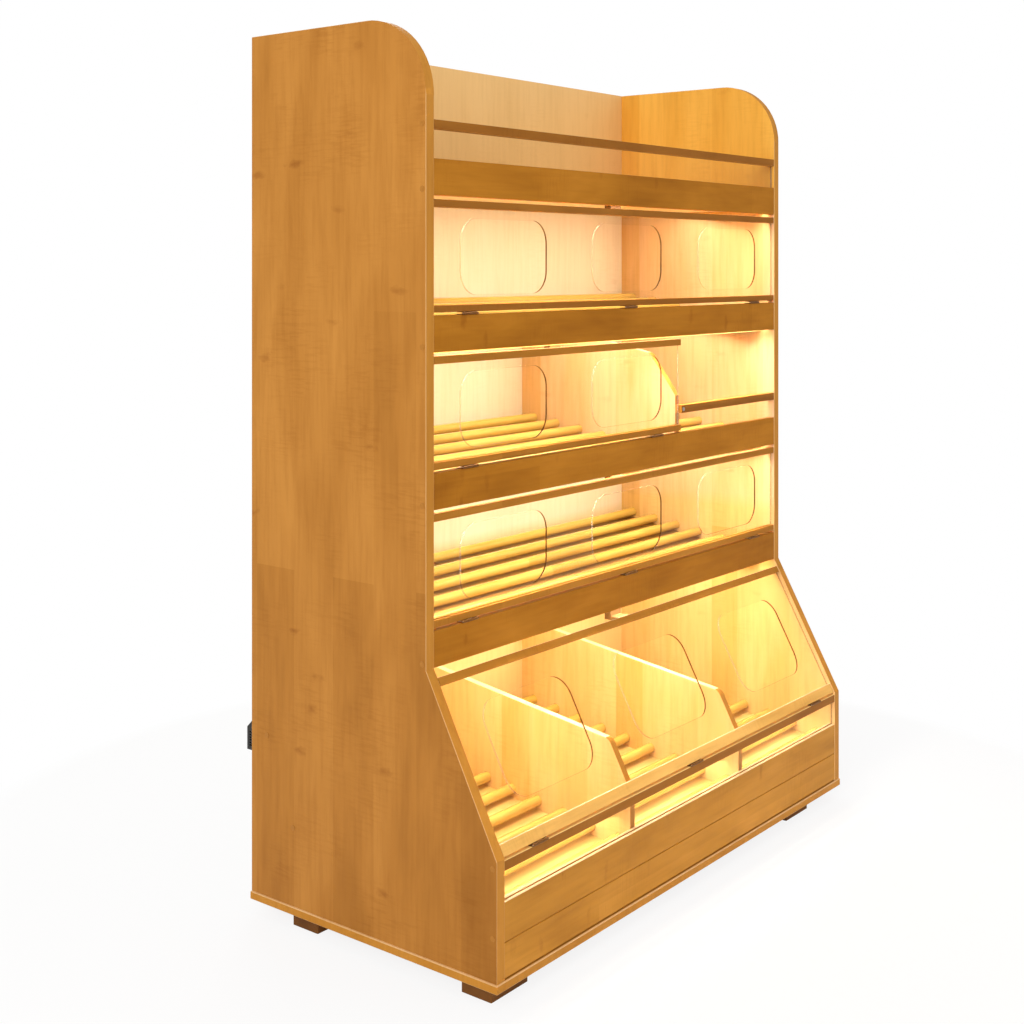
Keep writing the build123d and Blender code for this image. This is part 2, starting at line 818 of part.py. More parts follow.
def leaf(tier, side):
    y, z = pin_places[tier]
    z_plate = z + side * (hinge_gap / 2 - leaf_thickness / 2)
    if side > 0:
        knuckles = [(-middle_knuckle / 2, middle_knuckle)]
    else:
        knuckles = [(-hinge_width / 2, end_knuckle), (hinge_width / 2 - end_knuckle, end_knuckle)]
    clear = barrel_radius + knuckle_relief
    web = clear + knuckle_lap
    for x in hinge_places(tier):
        with BuildSketch(Plane.YZ.offset(x - hinge_width / 2)) as plate:
            with Locations((y + (clear + leaf_depth) / 2, z_plate)):
                Rectangle(leaf_depth - clear, leaf_thickness)
        extrude(plate.sketch, amount=hinge_width)
        for start, length in knuckles:
            with BuildSketch(Plane.YZ.offset(x + start)) as barrel:
                with Locations((y, z)):
                    RegularPolygon(barrel_radius, barrel_sides)
                with Locations((y + web / 2, z_plate)):
                    Rectangle(web, leaf_thickness)
                with Locations((y, z)):
                    if side > 0:
                        Circle(pin_radius + pin_clearance, mode=Mode.SUBTRACT)
                    else:
                        RegularPolygon(
                            pin_radius + pin_clearance,
                            screw_sides,
                            major_radius=False,
                            mode=Mode.SUBTRACT,
                        )
            extrude(barrel.sketch, amount=length)


with BuildPart() as hinge_fixed_leaves:
    for tier in (1, 2, 3, 4):
        leaf(tier, -1)
save(hinge_fixed_leaves, "hinge_fixed_leaves")

with BuildPart() as hinge_pins:
    for tier in (1, 2, 3, 4):
        for x in hinge_places(tier):
            with BuildSketch(Plane.YZ.offset(x - hinge_width / 2)):
                with Locations(pin_places[tier]):
                    Circle(pin_radius)
            extrude(amount=hinge_width)
save(hinge_pins, "hinge_pins")

with BuildPart() as flap_1_hinge_leaves:
    leaf(1, 1)
save(flap_1_hinge_leaves, "flap_1_hinge_leaves")

with BuildPart() as flap_2_hinge_leaves:
    leaf(2, 1)
save(flap_2_hinge_leaves, "flap_2_hinge_leaves")

with BuildPart() as flap_3_hinge_leaves:
    leaf(3, 1)
save(flap_3_hinge_leaves, "flap_3_hinge_leaves")

with BuildPart() as flap_4_hinge_leaves:
    leaf(4, 1)
save(flap_4_hinge_leaves, "flap_4_hinge_leaves")


# Magnetic catches: an arm under the boards meets a strike plate behind each handle rail
def catch_middle(tier):
    return (flap_left + flap_ends[tier]) / 2


def strike_foot(tier):
    rail_foot = flap_foot(tier) + flap_hinge_rail + flap_window_height
    return rail_foot + (flap_handle_rail - strike_height) / 2


def strike_plate(tier):
    with BuildSketch(Plane.XZ.offset(-face_back)) as plate:
        with Locations((catch_middle(tier), strike_foot(tier) + strike_height / 2)):
            Rectangle(catch_width, strike_height)
    extrude(plate.sketch, amount=-strike_thickness)


with BuildPart() as flap_1_strike_plate:
    strike_plate(1)
save(flap_1_strike_plate, "flap_1_strike_plate")

with BuildPart() as flap_2_strike_plate:
    strike_plate(2)
save(flap_2_strike_plate, "flap_2_strike_plate")

with BuildPart() as flap_3_strike_plate:
    strike_plate(3)
save(flap_3_strike_plate, "flap_3_strike_plate")

slant_strike_drop = slant_handle_drop + (slant_handle_rail - strike_height) / 2
with BuildPart() as flap_4_strike_plate:
    with BuildSketch(slant_plane.offset(-slant_depth)):
        with Locations((catch_middle(4), -slant_strike_drop - strike_height / 2)):
            Rectangle(catch_width, strike_height)
    extrude(amount=-strike_thickness)
save(flap_4_strike_plate, "flap_4_strike_plate")

leg_front = face_back + led_width + led_back_gap + catch_inset
leg_back = leg_front + catch_leg_depth


def board_under(tier, y):
    if tier == 1:
        return tray_top - board_thickness
    return board_top(tier - 1, y) - board_depth(tier - 1) / level


def catch(tier):
    nose = face_back + strike_thickness + strike_gap
    foot = strike_foot(tier)
    with BuildSketch(Plane.YZ.offset(catch_middle(tier) - catch_width / 2)) as outline:
        Polygon(
            (nose, foot),
            (leg_back, foot),
            (leg_back, board_under(tier, leg_back)),
            (leg_front, board_under(tier, leg_front)),
            (leg_front, foot + catch_arm_height),
            (nose, foot + catch_arm_height),
            align=None,
        )
    extrude(outline.sketch, amount=catch_width)


with BuildPart() as magnetic_catches:
    catch(1)
    catch(2)
    catch(3)
    nose_depth = slant_depth + strike_thickness + strike_gap
    nose_foot = slant_point(slant_strike_drop + strike_height, nose_depth)
    nose_head = slant_point(slant_strike_drop, nose_depth)
    with BuildSketch(Plane.YZ.offset(catch_middle(4) - catch_width / 2)):
        Polygon(
            nose_foot,
            (leg_back, nose_foot[1]),
            (leg_back, board_under(4, leg_back)),
            (leg_front, board_under(4, leg_front)),
            (leg_front, nose_head[1]),
            nose_head,
            align=None,
        )
    extrude(amount=catch_width)
save(magnetic_catches, "magnetic_catches")

# Lighting under the front of each tier: a channel behind the fascia with a clipped-in diffuser
with BuildPart() as led_profiles:
    for tier in (1, 2, 3, 4):
        with BuildSketch(Plane.YZ.offset(inner_left)):
            with Locations((face_back + led_width / 2, fascia_bottom(tier) + led_rise + led_height / 2)):
                Rectangle(led_width, led_height)
            with Locations((face_back + led_width / 2, fascia_bottom(tier) + led_rise + led_height / 2
                            - led_wall)):
                Rectangle(led_width - 2 * led_wall, led_height, mode=Mode.SUBTRACT)
        extrude(amount=inner_width)
save(led_profiles, "led_profiles")

with BuildPart() as led_diffusers:
    for tier in (1, 2, 3, 4):
        with BuildSketch(Plane.YZ.offset(inner_left)):
            with Locations((face_back + led_width / 2, fascia_bottom(tier) + led_rise
                            + diffuser_thickness / 2)):
                Rectangle(led_width - 2 * led_wall - 2 * diffuser_clearance, diffuser_thickness)
        extrude(amount=inner_width)
save(led_diffusers, "led_diffusers")

# Long screws through the sides, one into the end of each cross piece, and one for the guard bar
with BuildPart() as carcass_screws:
    for outside, sense in ((left, 1), (right, -1)):
        seat = Plane(origin=(outside + sense * counterbore_depth, 0, 0), x_dir=(0, 1, 0), z_dir=(1, 0, 0))
        with BuildSketch(seat):
            with Locations(*screw_points):
                RegularPolygon(screw_head_radius, screw_sides)
        extrude(amount=-sense * screw_head_height)
        with BuildSketch(seat):
            with Locations(*screw_points):
                RegularPolygon(screw_radius, screw_sides)
        extrude(amount=sense * (screw_length - counterbore_depth))
    bar_screw = (bar_screw_x, bar_bottom + bar_height / 2)
    with BuildSketch(Plane.XZ.offset(-face)):
        with Locations(bar_screw):
            RegularPolygon(screw_head_radius, screw_sides)
    extrude(amount=screw_head_height / 2)
    with BuildSketch(Plane.XZ.offset(-face)):
        with Locations(bar_screw):
            RegularPolygon(screw_radius, screw_sides)
    extrude(amount=-board_thickness)
save(carcass_screws, "carcass_screws")

# Press-in caps over the screw holes in both sides
with BuildPart() as cover_caps:
    for outside, sense in ((left, 1), (right, -1)):
        seat = Plane(origin=(outside, 0, 0), x_dir=(0, 1, 0), z_dir=(1, 0, 0))
        with BuildSketch(seat):
            with Locations(*cap_points):
                RegularPolygon(cap_radius, cap_sides)
        extrude(amount=-sense * cap_thickness, taper=head_taper)
        with BuildSketch(seat):
            with Locations(*cap_points):
                RegularPolygon(cap_plug_radius, screw_sides)
        extrude(amount=sense * cap_plug_length)
save(cover_caps, "cover_caps")

# Power supply housing on the back: a folded shell with a sloped top and vent slots
supply_left = left + supply_setback
supply_foot = deck + supply_rise


def supply_outline(wall):
    y0 = back_outside
    y1 = back_outside + supply_depth - wall
    z0 = supply_foot + wall
    z1 = supply_foot + supply_height - wall
    cut = supply_chamfer - wall * (2 - math.sqrt(2))
    return [(y0, z0), (y1, z0), (y1, z1 - cut), (y1 - cut, z1), (y0, z1)]


with BuildPart() as power_supply_housing:
    with BuildSketch(Plane.YZ.offset(supply_left)):
        Polygon(*supply_outline(0), align=None)
    extrude(amount=supply_length)
    with BuildSketch(Plane.YZ.offset(supply_left + supply_wall)):
        Polygon(*supply_outline(supply_wall), align=None)
    extrude(amount=supply_length - 2 * supply_wall, mode=Mode.SUBTRACT)
    vent_pitch = (supply_length - 4 * vent_width) / vent_count
    vent_height = supply_height - supply_chamfer
    with BuildSketch(Plane.XZ.offset(-(back_outside + supply_depth))):
        with Locations((supply_left + supply_length / 2, supply_foot + vent_height / 2)):
            with GridLocations(vent_pitch, 1, vent_count, 1):
                Rectangle(vent_width, vent_height * 2 / 3)
    extrude(amount=supply_wall, mode=Mode.SUBTRACT)
    with BuildSketch(Plane.YZ.offset(supply_left)):
        with Locations((back_outside + supply_depth / 2, supply_foot + vent_height / 2)):
            with GridLocations(1, 2 * vent_width, 1, side_vent_count):
                Rectangle(supply_depth * 2 / 3, vent_width)
    extrude(amount=supply_length, mode=Mode.SUBTRACT)
    with BuildSketch(Plane.XY.offset(supply_foot)):
        with Locations((supply_left + supply_length / 2, back_outside + supply_depth / 2)):
            RegularPolygon(gland_neck_radius + gland_clearance, screw_sides, major_radius=False)
    extrude(amount=supply_wall, mode=Mode.SUBTRACT)
save(power_supply_housing, "power_supply_housing")

# Cable gland under the housing: a flanged nut whose neck passes into the sheet
gland_x = supply_left + supply_length / 2
gland_y = back_outside + supply_depth / 2
with BuildPart() as cable_gland:
    with BuildSketch(Plane.XY.offset(supply_foot)):
        with Locations((gland_x, gland_y)):
            RegularPolygon(gland_radius, 6, major_radius=False)
    extrude(amount=-gland_height / 2)
    with BuildSketch(Plane.XY.offset(supply_foot - gland_height / 2)):
        with Locations((gland_x, gland_y)):
            RegularPolygon(gland_neck_radius, cap_sides)
    extrude(amount=-gland_height / 2)
    with BuildSketch(Plane.XY.offset(supply_foot)):
        with Locations((gland_x, gland_y)):
            RegularPolygon(gland_neck_radius, screw_sides)
    extrude(amount=supply_wall)
    with BuildSketch(Plane.XY.offset(supply_foot + supply_wall)):
        with Locations((gland_x, gland_y)):
            RegularPolygon(gland_bore_radius, screw_sides, major_radius=False)
    extrude(amount=-(gland_height + supply_wall), mode=Mode.SUBTRACT)
save(cable_gland, "cable_gland")
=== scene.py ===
import json
import math

import bpy
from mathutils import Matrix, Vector


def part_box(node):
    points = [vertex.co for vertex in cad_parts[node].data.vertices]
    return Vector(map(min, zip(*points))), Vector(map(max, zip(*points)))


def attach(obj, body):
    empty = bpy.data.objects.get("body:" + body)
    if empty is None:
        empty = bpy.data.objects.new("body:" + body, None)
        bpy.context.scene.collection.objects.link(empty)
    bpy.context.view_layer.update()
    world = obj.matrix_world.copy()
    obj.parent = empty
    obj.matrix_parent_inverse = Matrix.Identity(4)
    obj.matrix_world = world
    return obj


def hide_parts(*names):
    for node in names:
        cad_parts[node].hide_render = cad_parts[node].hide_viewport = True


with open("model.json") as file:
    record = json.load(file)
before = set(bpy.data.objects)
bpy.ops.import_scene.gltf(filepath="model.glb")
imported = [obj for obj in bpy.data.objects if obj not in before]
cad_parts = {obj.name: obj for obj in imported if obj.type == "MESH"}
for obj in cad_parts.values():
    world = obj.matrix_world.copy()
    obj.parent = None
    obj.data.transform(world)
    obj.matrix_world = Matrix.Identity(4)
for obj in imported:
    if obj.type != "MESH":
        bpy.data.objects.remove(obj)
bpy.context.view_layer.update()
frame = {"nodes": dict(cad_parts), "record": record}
nodes = frame["nodes"]
bodyOf = {node: body for body, names in frame["record"]["behaviour"]["bodies"].items() for node in names}
print("frame loaded:", len(nodes), "nodes")


# Small helpers for node materials
def newMaterial(name):
    material = bpy.data.materials.new(name)
    material.use_nodes = True
    material.node_tree.nodes.clear()
    return material


def addNode(material, kind, **settings):
    node = material.node_tree.nodes.new(kind)
    for key, value in settings.items():
        setattr(node, key, value)
    return node


def join(material, outSocket, inSocket):
    material.node_tree.links.new(outSocket, inSocket)


def feed(material, value, socket):
    if isinstance(value, (int, float)):
        socket.default_value = value
    elif isinstance(value, tuple):
        socket.default_value = (*value, 1.0) if len(socket.default_value) == 4 else value
    else:
        join(material, value, socket)


def mathNode(material, operation, a, b=None, c=None):
    node = addNode(material, "ShaderNodeMath", operation=operation)
    for index, value in enumerate((a, b, c)):
        if value is not None:
            feed(material, value, node.inputs[index])
    return node.outputs[0]


def mixColour(material, factor, a, b, blend="MIX"):
    node = addNode(material, "ShaderNodeMix", data_type="RGBA", blend_type=blend)
    for socket, value in ((node.inputs[0], factor), (node.inputs[6], a), (node.inputs[7], b)):
        feed(material, value, socket)
    return node.outputs[2]


def rampNode(material, factor, stops):
    node = addNode(material, "ShaderNodeValToRGB")
    elements = node.color_ramp.elements
    while len(elements) < len(stops):
        elements.new(0.5)
    for element, (place, colour) in zip(elements, stops):
        element.position = place
        element.color = (*colour, 1.0)
    join(material, factor, node.inputs[0])
    return node.outputs[0]


def fadeNode(material, value, low, high):
    node = addNode(material, "ShaderNodeMapRange")
    node.inputs["From Min"].default_value = low
    node.inputs["From Max"].default_value = high
    join(material, value, node.inputs["Value"])
    return node.outputs[0]


def noiseNode(material, vector, scale, detail=3.0, roughness=0.5, distortion=0.0):
    node = addNode(material, "ShaderNodeTexNoise")
    node.inputs["Scale"].default_value = scale
    node.inputs["Detail"].default_value = detail
    node.inputs["Roughness"].default_value = roughness
    node.inputs["Distortion"].default_value = distortion
    join(material, vector, node.inputs["Vector"])
    return node.outputs["Fac"]


def objectPlace(material):
    return addNode(material, "ShaderNodeTexCoord").outputs["Object"]


def placeParts(material):
    split = addNode(material, "ShaderNodeSeparateXYZ")
    join(material, objectPlace(material), split.inputs[0])
    return split.outputs


def combine(material, x, y, z):
    node = addNode(material, "ShaderNodeCombineXYZ")
    for value, socket in zip((x, y, z), node.inputs):
        feed(material, value, socket)
    return node.outputs[0]


coatRoughness = 0.13


def finishMaterial(material, colour, roughness, bumpHeight, bumpStrength, bumpDistance,
                   metallic=0.0, coat=0.0, specular=0.5, emission=None):
    shader = addNode(material, "ShaderNodeBsdfPrincipled")
    output = addNode(material, "ShaderNodeOutputMaterial")
    feed(material, colour, shader.inputs["Base Color"])
    feed(material, roughness, shader.inputs["Roughness"])
    shader.inputs["Metallic"].default_value = metallic
    shader.inputs["Coat Weight"].default_value = coat
    shader.inputs["Coat Roughness"].default_value = coatRoughness
    shader.inputs["Specular IOR Level"].default_value = specular
    if emission:
        shader.inputs["Emission Color"].default_value = (*emission[0], 1.0)
        shader.inputs["Emission Strength"].default_value = emission[1]
    bump = addNode(material, "ShaderNodeBump")
    bump.inputs["Strength"].default_value = bumpStrength
    bump.inputs["Distance"].default_value = bumpDistance
    join(material, bumpHeight, bump.inputs["Height"])
    join(material, bump.outputs[0], shader.inputs["Normal"])
    join(material, shader.outputs[0], output.inputs[0])


# Maple-look board: staved tones, streaks along the grain, cross ripple in patches and a few small knots.
# A stretch below 1 draws a pattern out along the grain, one above 1 squeezes it.
grain = {"staveStep": 0.42, "streakStretch": 0.07, "streakDetail": 6.0, "streakRough": 0.62, "streakBend": 0.1,
         "broadStretch": 0.3, "broadRough": 0.55, "broadBend": 0.4, "toneStops": (0.32, 0.50, 0.68),
         "streakStops": [(0.34, (0.86, 0.81, 0.72)), (0.54, (1, 1, 1)), (0.74, (1.05, 1.05, 1.0))],
         "rippleStretch": 9.0, "rippleBend": 0.2, "patchScale": 5.5, "patchFade": (0.46, 0.66),
         "rippleStops": [(0.38, (0.87, 0.82, 0.74)), (0.52, (1, 1, 1))],
         "knotStretch": 2.4, "wanderStretch": 1.8, "wanderScale": 30, "wanderDetail": 4.0, "wanderReach": 0.42,
         "knotFade": (0.32, 0.20), "knotRarity": 0.70, "knotFaintest": 0.4, "knotTint": (0.60, 0.46, 0.34),
         "acrossStart": 5.0, "acrossShift": 0.37, "roughSpread": 0.12, "bump": 0.06, "bumpDistance": 0.0004}
boardDefaults = {"across": "z", "shift": 0.0, "streakScale": 85, "streakMix": 0.55, "broadScale": 9,
                 "broadMix": 0.5, "staveMix": 0.16, "rippleScale": 22, "rippleMix": 0.6, "knotScale": 5.0,
                 "knotMix": 0.6, "roughness": 0.40, "specular": 0.25, "coat": 0.0}


def boardMaterial(name, ownLook):
    look = {**boardDefaults, **ownLook}
    material = newMaterial(name)
    axes = dict(zip("xyz", placeParts(material)))
    height = axes["z"]
    along, across = axes.pop(look["along"]), axes.pop(look["across"])
    (depth,) = axes.values()
    along = mathNode(material, "ADD", along, look["shift"])
    across = mathNode(material, "ADD", across, grain["acrossShift"] * look["shift"] + grain["acrossStart"])

    def stretched(amount):
        return combine(material, mathNode(material, "MULTIPLY", along, amount), across, depth)

    staves = addNode(material, "ShaderNodeTexBrick", offset=grain["staveStep"], offset_frequency=2)
    for socket, value in (("Scale", 1.0), ("Mortar Size", 0.0), ("Brick Width", look["staveLength"]),
                          ("Row Height", look["staveWidth"]), ("Color1", (0, 0, 0, 1)), ("Color2", (1, 1, 1, 1))):
        staves.inputs[socket].default_value = value
    join(material, combine(material, along, across, 0.0), staves.inputs["Vector"])

    streaks = noiseNode(material, stretched(grain["streakStretch"]), look["streakScale"], grain["streakDetail"],
                        grain["streakRough"], grain["streakBend"])
    broad = noiseNode(material, stretched(grain["broadStretch"]), look["broadScale"], 3.0, grain["broadRough"],
                      grain["broadBend"])
    staveMix, broadMix = look["staveMix"], look["broadMix"]
    tone = mathNode(material, "MULTIPLY_ADD", staves.outputs["Color"], staveMix, 0.5 - 0.5 * (staveMix + broadMix))
    tone = mathNode(material, "MULTIPLY_ADD", broad, broadMix, tone)
    colour = rampNode(material, tone, list(zip(grain["toneStops"], (look["dark"], look["mid"], look["light"]))))
    fine = rampNode(material, streaks, grain["streakStops"])
    colour = mixColour(material, look["streakMix"], colour, fine, "MULTIPLY")

    ripple = noiseNode(material, stretched(grain["rippleStretch"]), look["rippleScale"], 2.0,
                       distortion=grain["rippleBend"])
    patch = noiseNode(material, combine(material, along, across, depth), grain["patchScale"], 2.0)
    patch = fadeNode(material, patch, *grain["patchFade"])
    ripple = rampNode(material, ripple, grain["rippleStops"])
    colour = mixColour(material, mathNode(material, "MULTIPLY", patch, look["rippleMix"]), colour, ripple, "MULTIPLY")

    cells = addNode(material, "ShaderNodeTexVoronoi", voronoi_dimensions="2D")
    cells.inputs["Scale"].default_value = look["knotScale"]
    squeezed = mathNode(material, "MULTIPLY", along, grain["knotStretch"])
    join(material, combine(material, squeezed, across, 0.0), cells.inputs["Vector"])
    wander = noiseNode(material, stretched(grain["wanderStretch"]), grain["wanderScale"], grain["wanderDetail"])
    near = mathNode(material, "MULTIPLY_ADD", wander, grain["wanderReach"], cells.outputs["Distance"])
    chance = addNode(material, "ShaderNodeSeparateColor")
    join(material, cells.outputs["Color"], chance.inputs[0])
    present = mathNode(material, "GREATER_THAN", chance.outputs[0], grain["knotRarity"])
    strength = mathNode(material, "MULTIPLY_ADD", chance.outputs[1], 1 - grain["knotFaintest"], grain["knotFaintest"])
    knot = fadeNode(material, near, *grain["knotFade"])
    for factor in (present, strength, look["knotMix"]):
        knot = mathNode(material, "MULTIPLY", knot, factor)
    colour = mixColour(material, knot, colour, grain["knotTint"], "MULTIPLY")

    for band in ("upper", "lower"):  # painted shade above one height and a warmer painted light tint below another
        if band in look:
            within = fadeNode(material, height, *look[band + "Range"])
            colour = mixColour(material, within, colour, mixColour(material, 1.0, colour, look[band], "MULTIPLY"))
    rough = mathNode(material, "MULTIPLY_ADD", streaks, grain["roughSpread"], look["roughness"])
    finishMaterial(material, colour, rough, streaks, grain["bump"], grain["bumpDistance"],
                   specular=look["specular"], coat=look["coat"])
    return material


boardLooks = {
    "outerSide": {"along": "z", "across": "y", "staveLength": 1.35, "staveWidth": 0.118, "staveMix": 0.22,
                  "specular": 0.12, "knotMix": 0.7, "dark": (0.330, 0.127, 0.018),
                  "mid": (0.436, 0.177, 0.029), "light": (0.520, 0.224, 0.042)},
    # Inner faces: the maple's own tone, painted paler and yellower as painted light from the strips
    "innerSide": {"along": "z", "across": "y", "staveLength": 4.0, "staveWidth": 0.082, "staveMix": 0.26,
                  "shift": 3.3, "rippleMix": 0.35, "knotMix": 0.3, "upper": (0.98, 0.76, 0.195),
                  "upperRange": (1.585, 1.60), "lower": (1.0, 1.0, 0.76), "lowerRange": (0.80, 0.76),
                  "dark": (0.74, 0.435, 0.172), "mid": (0.82, 0.53, 0.275), "light": (0.88, 0.605, 0.375)},
    "fascia": {"along": "x", "staveLength": 2.3, "staveWidth": 0.13, "staveMix": 0.10, "broadMix": 0.6,
               "shift": 1.7, "rippleMix": 0.45, "specular": 0.06, "dark": (0.30, 0.102, 0.005),
               "mid": (0.415, 0.155, 0.010), "light": (0.52, 0.205, 0.018)},
    "plinth": {"along": "x", "staveLength": 2.3, "staveWidth": 0.16, "staveMix": 0.10, "broadMix": 0.6,
               "shift": 9.6, "rippleMix": 0.45, "specular": 0.1, "dark": (0.39, 0.155, 0.014),
               "mid": (0.53, 0.23, 0.026), "light": (0.645, 0.29, 0.045)},
    "rail": {"along": "x", "staveLength": 2.6, "staveWidth": 0.2, "shift": 4.1, "knotMix": 0.35, "specular": 0.08,
             "dark": (0.23, 0.078, 0.008), "mid": (0.30, 0.108, 0.011), "light": (0.38, 0.145, 0.018)},
    "warmRail": {"along": "x", "staveLength": 2.6, "staveWidth": 0.2, "shift": 8.3, "knotMix": 0.35, "specular": 0.08,
                 "dark": (0.34, 0.125, 0.011), "mid": (0.43, 0.172, 0.018), "light": (0.52, 0.22, 0.03)},
    "slantRail": {"along": "x", "staveLength": 2.6, "staveWidth": 0.2, "shift": 6.4, "knotMix": 0.35,
                  "dark": (0.60, 0.295, 0.055), "mid": (0.71, 0.38, 0.082), "light": (0.79, 0.455, 0.12)},
    "shelfBoard": {"along": "x", "staveLength": 2.4, "staveWidth": 0.11, "across": "y", "shift": 2.2,
                   "rippleMix": 0.3, "knotMix": 0.25,
                   "dark": (0.62, 0.40, 0.12), "mid": (0.72, 0.50, 0.17), "light": (0.80, 0.58, 0.24)},
    "trayBoard": {"along": "x", "staveLength": 2.4, "staveWidth": 0.11, "across": "y", "shift": 1.4,
                  "rippleMix": 0.3, "knotMix": 0.25,
                  "dark": (0.66, 0.375, 0.10), "mid": (0.74, 0.445, 0.14), "light": (0.80, 0.51, 0.20)},
    # Board under the rods: painted darker, as painted shade between the rods
    "paintedShadeUnderRods": {"along": "x", "staveLength": 2.4, "staveWidth": 0.11, "across": "y", "shift": 2.9,
                 "rippleMix": 0.3, "knotMix": 0.25,
                 "dark": (0.28, 0.140, 0.030), "mid": (0.36, 0.195, 0.048), "light": (0.45, 0.26, 0.075)},
    # Undersides of the boards: painted paler than their tops, as painted light
    "shelfUnder": {"along": "x", "staveLength": 2.4, "staveWidth": 0.11, "across": "y", "shift": 4.9,
                   "rippleMix": 0.2, "knotMix": 0.15,
                   "dark": (0.78, 0.56, 0.30), "mid": (0.84, 0.63, 0.36), "light": (0.88, 0.69, 0.43)},
    # Back panel inside: its own pale tone, painted paler still as painted light from the strips
    "backInside": {"along": "z", "staveLength": 1.3, "staveWidth": 0.12, "across": "x", "shift": 5.1,
                   "staveMix": 0.10, "broadMix": 0.4, "streakMix": 0.3, "rippleMix": 0.2, "knotMix": 0.15,
                   "upper": (0.97, 0.72, 0.345), "upperRange": (1.59, 1.61), "lower": (1.0, 0.82, 0.48),
                   "lowerRange": (0.74, 0.70),
                   "dark": (0.86, 0.755, 0.62), "mid": (0.90, 0.80, 0.68), "light": (0.93, 0.84, 0.73)},
    "backOutside": {"along": "z", "staveLength": 1.3, "staveWidth": 0.12, "across": "x", "shift": 7.3,
                    "dark": (0.58, 0.45, 0.28), "mid": (0.66, 0.52, 0.34), "light": (0.72, 0.59, 0.40)},
    "edgeBand": {"along": "z", "across": "y", "staveLength": 3.0, "staveWidth": 0.4, "staveMix": 0.0,
                 "shift": 1.1, "rippleMix": 0.0, "knotMix": 0.0, "specular": 0.1,
                 "dark": (0.45, 0.18, 0.020), "mid": (0.53, 0.225, 0.030), "light": (0.59, 0.265, 0.042)},
    # Eased corners of the side panels and base board: painted lighter, as a painted highlight
    "paintedEdgeHighlight": {"along": "z", "across": "y", "staveLength": 3.0, "staveWidth": 0.4, "staveMix": 0.0,
                 "rippleMix": 0.0, "knotMix": 0.0,
                 "dark": (0.64, 0.35, 0.13), "mid": (0.72, 0.42, 0.18), "light": (0.78, 0.48, 0.22)},
    # Top face of the fixed lower rail: painted bright, as painted light
    "paintedLightLine": {"along": "x", "staveLength": 3.0, "staveWidth": 0.4, "staveMix": 0.0, "rippleMix": 0.0,
                 "knotMix": 0.0,
                 "dark": (0.90, 0.56, 0.17), "mid": (0.95, 0.64, 0.22), "light": (0.97, 0.70, 0.27)},
    # Faces turned up (plinth top, slanted rails' tops) and the dividers' edges other than the front: painted pale, as
    # painted light
    "paintedLightPale": {"along": "x", "staveLength": 3.0, "staveWidth": 0.4, "staveMix": 0.0, "rippleMix": 0.0,
                 "knotMix": 0.0,
                 "dark": (0.76, 0.56, 0.30), "mid": (0.84, 0.64, 0.38), "light": (0.88, 0.70, 0.44)},
    "rod": {"along": "x", "staveLength": 4.0, "staveWidth": 0.075, "streakScale": 160, "knotMix": 0.3,
            "rippleMix": 0.1, "coat": 1.0, "roughness": 0.16, "specular": 0.9,
            "dark": (0.54, 0.325, 0.055), "mid": (0.71, 0.47, 0.097), "light": (0.82, 0.57, 0.155)},
    "footWood": {"along": "x", "staveLength": 0.5, "staveWidth": 0.2, "rippleMix": 0.2, "roughness": 0.5,
                 "dark": (0.12, 0.042, 0.006), "mid": (0.17, 0.062, 0.009), "light": (0.23, 0.09, 0.014)},
}
boards = {name: boardMaterial(name, look) for name, look in boardLooks.items()}

# Even finishes: a fine speckle in colour and roughness
speckle = {"darkest": 0.86, "roughSpread": 0.15, "roughDrop": 0.07, "bumpDistance": 0.0003}


def plainMaterial(name, colour, roughness, metallic=0.0, noiseScale=200.0, bump=0.05, emission=None, specular=0.5):
    material = newMaterial(name)
    speck = noiseNode(material, objectPlace(material), noiseScale, 3.0)
    shade = rampNode(material, speck, [(0.3, tuple(c * speckle["darkest"] for c in colour)), (0.7, colour)])
    rough = mathNode(material, "MULTIPLY_ADD", speck, speckle["roughSpread"], roughness - speckle["roughDrop"])
    finishMaterial(material, shade, rough, speck, bump, speckle["bumpDistance"], metallic,
                   emission=emission, specular=specular)
    return material


# Clear sheet: see-through with a faint sheen; its cut edges gather light and shade
def clearMaterial(name, look):
    material = newMaterial(name)
    output = addNode(material, "ShaderNodeOutputMaterial")
    clear = addNode(material, "ShaderNodeBsdfTransparent")
    gloss = addNode(material, "ShaderNodeBsdfGlossy")
    gloss.inputs["Roughness"].default_value = look["roughness"]
    fresnel = addNode(material, "ShaderNodeFresnel")
    fresnel.inputs["IOR"].default_value = look["ior"]
    facing = addNode(material, "ShaderNodeNewGeometry")
    outward = mathNode(material, "SUBTRACT", 1.0, facing.outputs["Backfacing"])
    sheen = mathNode(material, "MULTIPLY", mathNode(material, "ADD", fresnel.outputs[0], look["gather"]), outward)
    haze = noiseNode(material, objectPlace(material), look["hazeScale"], 2.0)
    tint = rampNode(material, haze, [(0.3, look["tintDark"]), (0.7, look["tint"])])
    feed(material, mixColour(material, facing.outputs["Backfacing"], tint, look["inner"]), clear.inputs["Color"])
    sheet = addNode(material, "ShaderNodeMixShader")
    join(material, sheen, sheet.inputs[0])
    join(material, clear.outputs[0], sheet.inputs[1])
    join(material, gloss.outputs[0], sheet.inputs[2])
    bright = addNode(material, "ShaderNodeBsdfDiffuse")
    feed(material, look["glowColour"], bright.inputs["Color"])
    lit = addNode(material, "ShaderNodeMixShader")
    join(material, mathNode(material, "MULTIPLY", facing.outputs["Backfacing"], look["glow"]), lit.inputs[0])
    join(material, sheet.outputs[0], lit.inputs[1])
    join(material, bright.outputs[0], lit.inputs[2])
    join(material, lit.outputs[0], output.inputs[0])
    return material


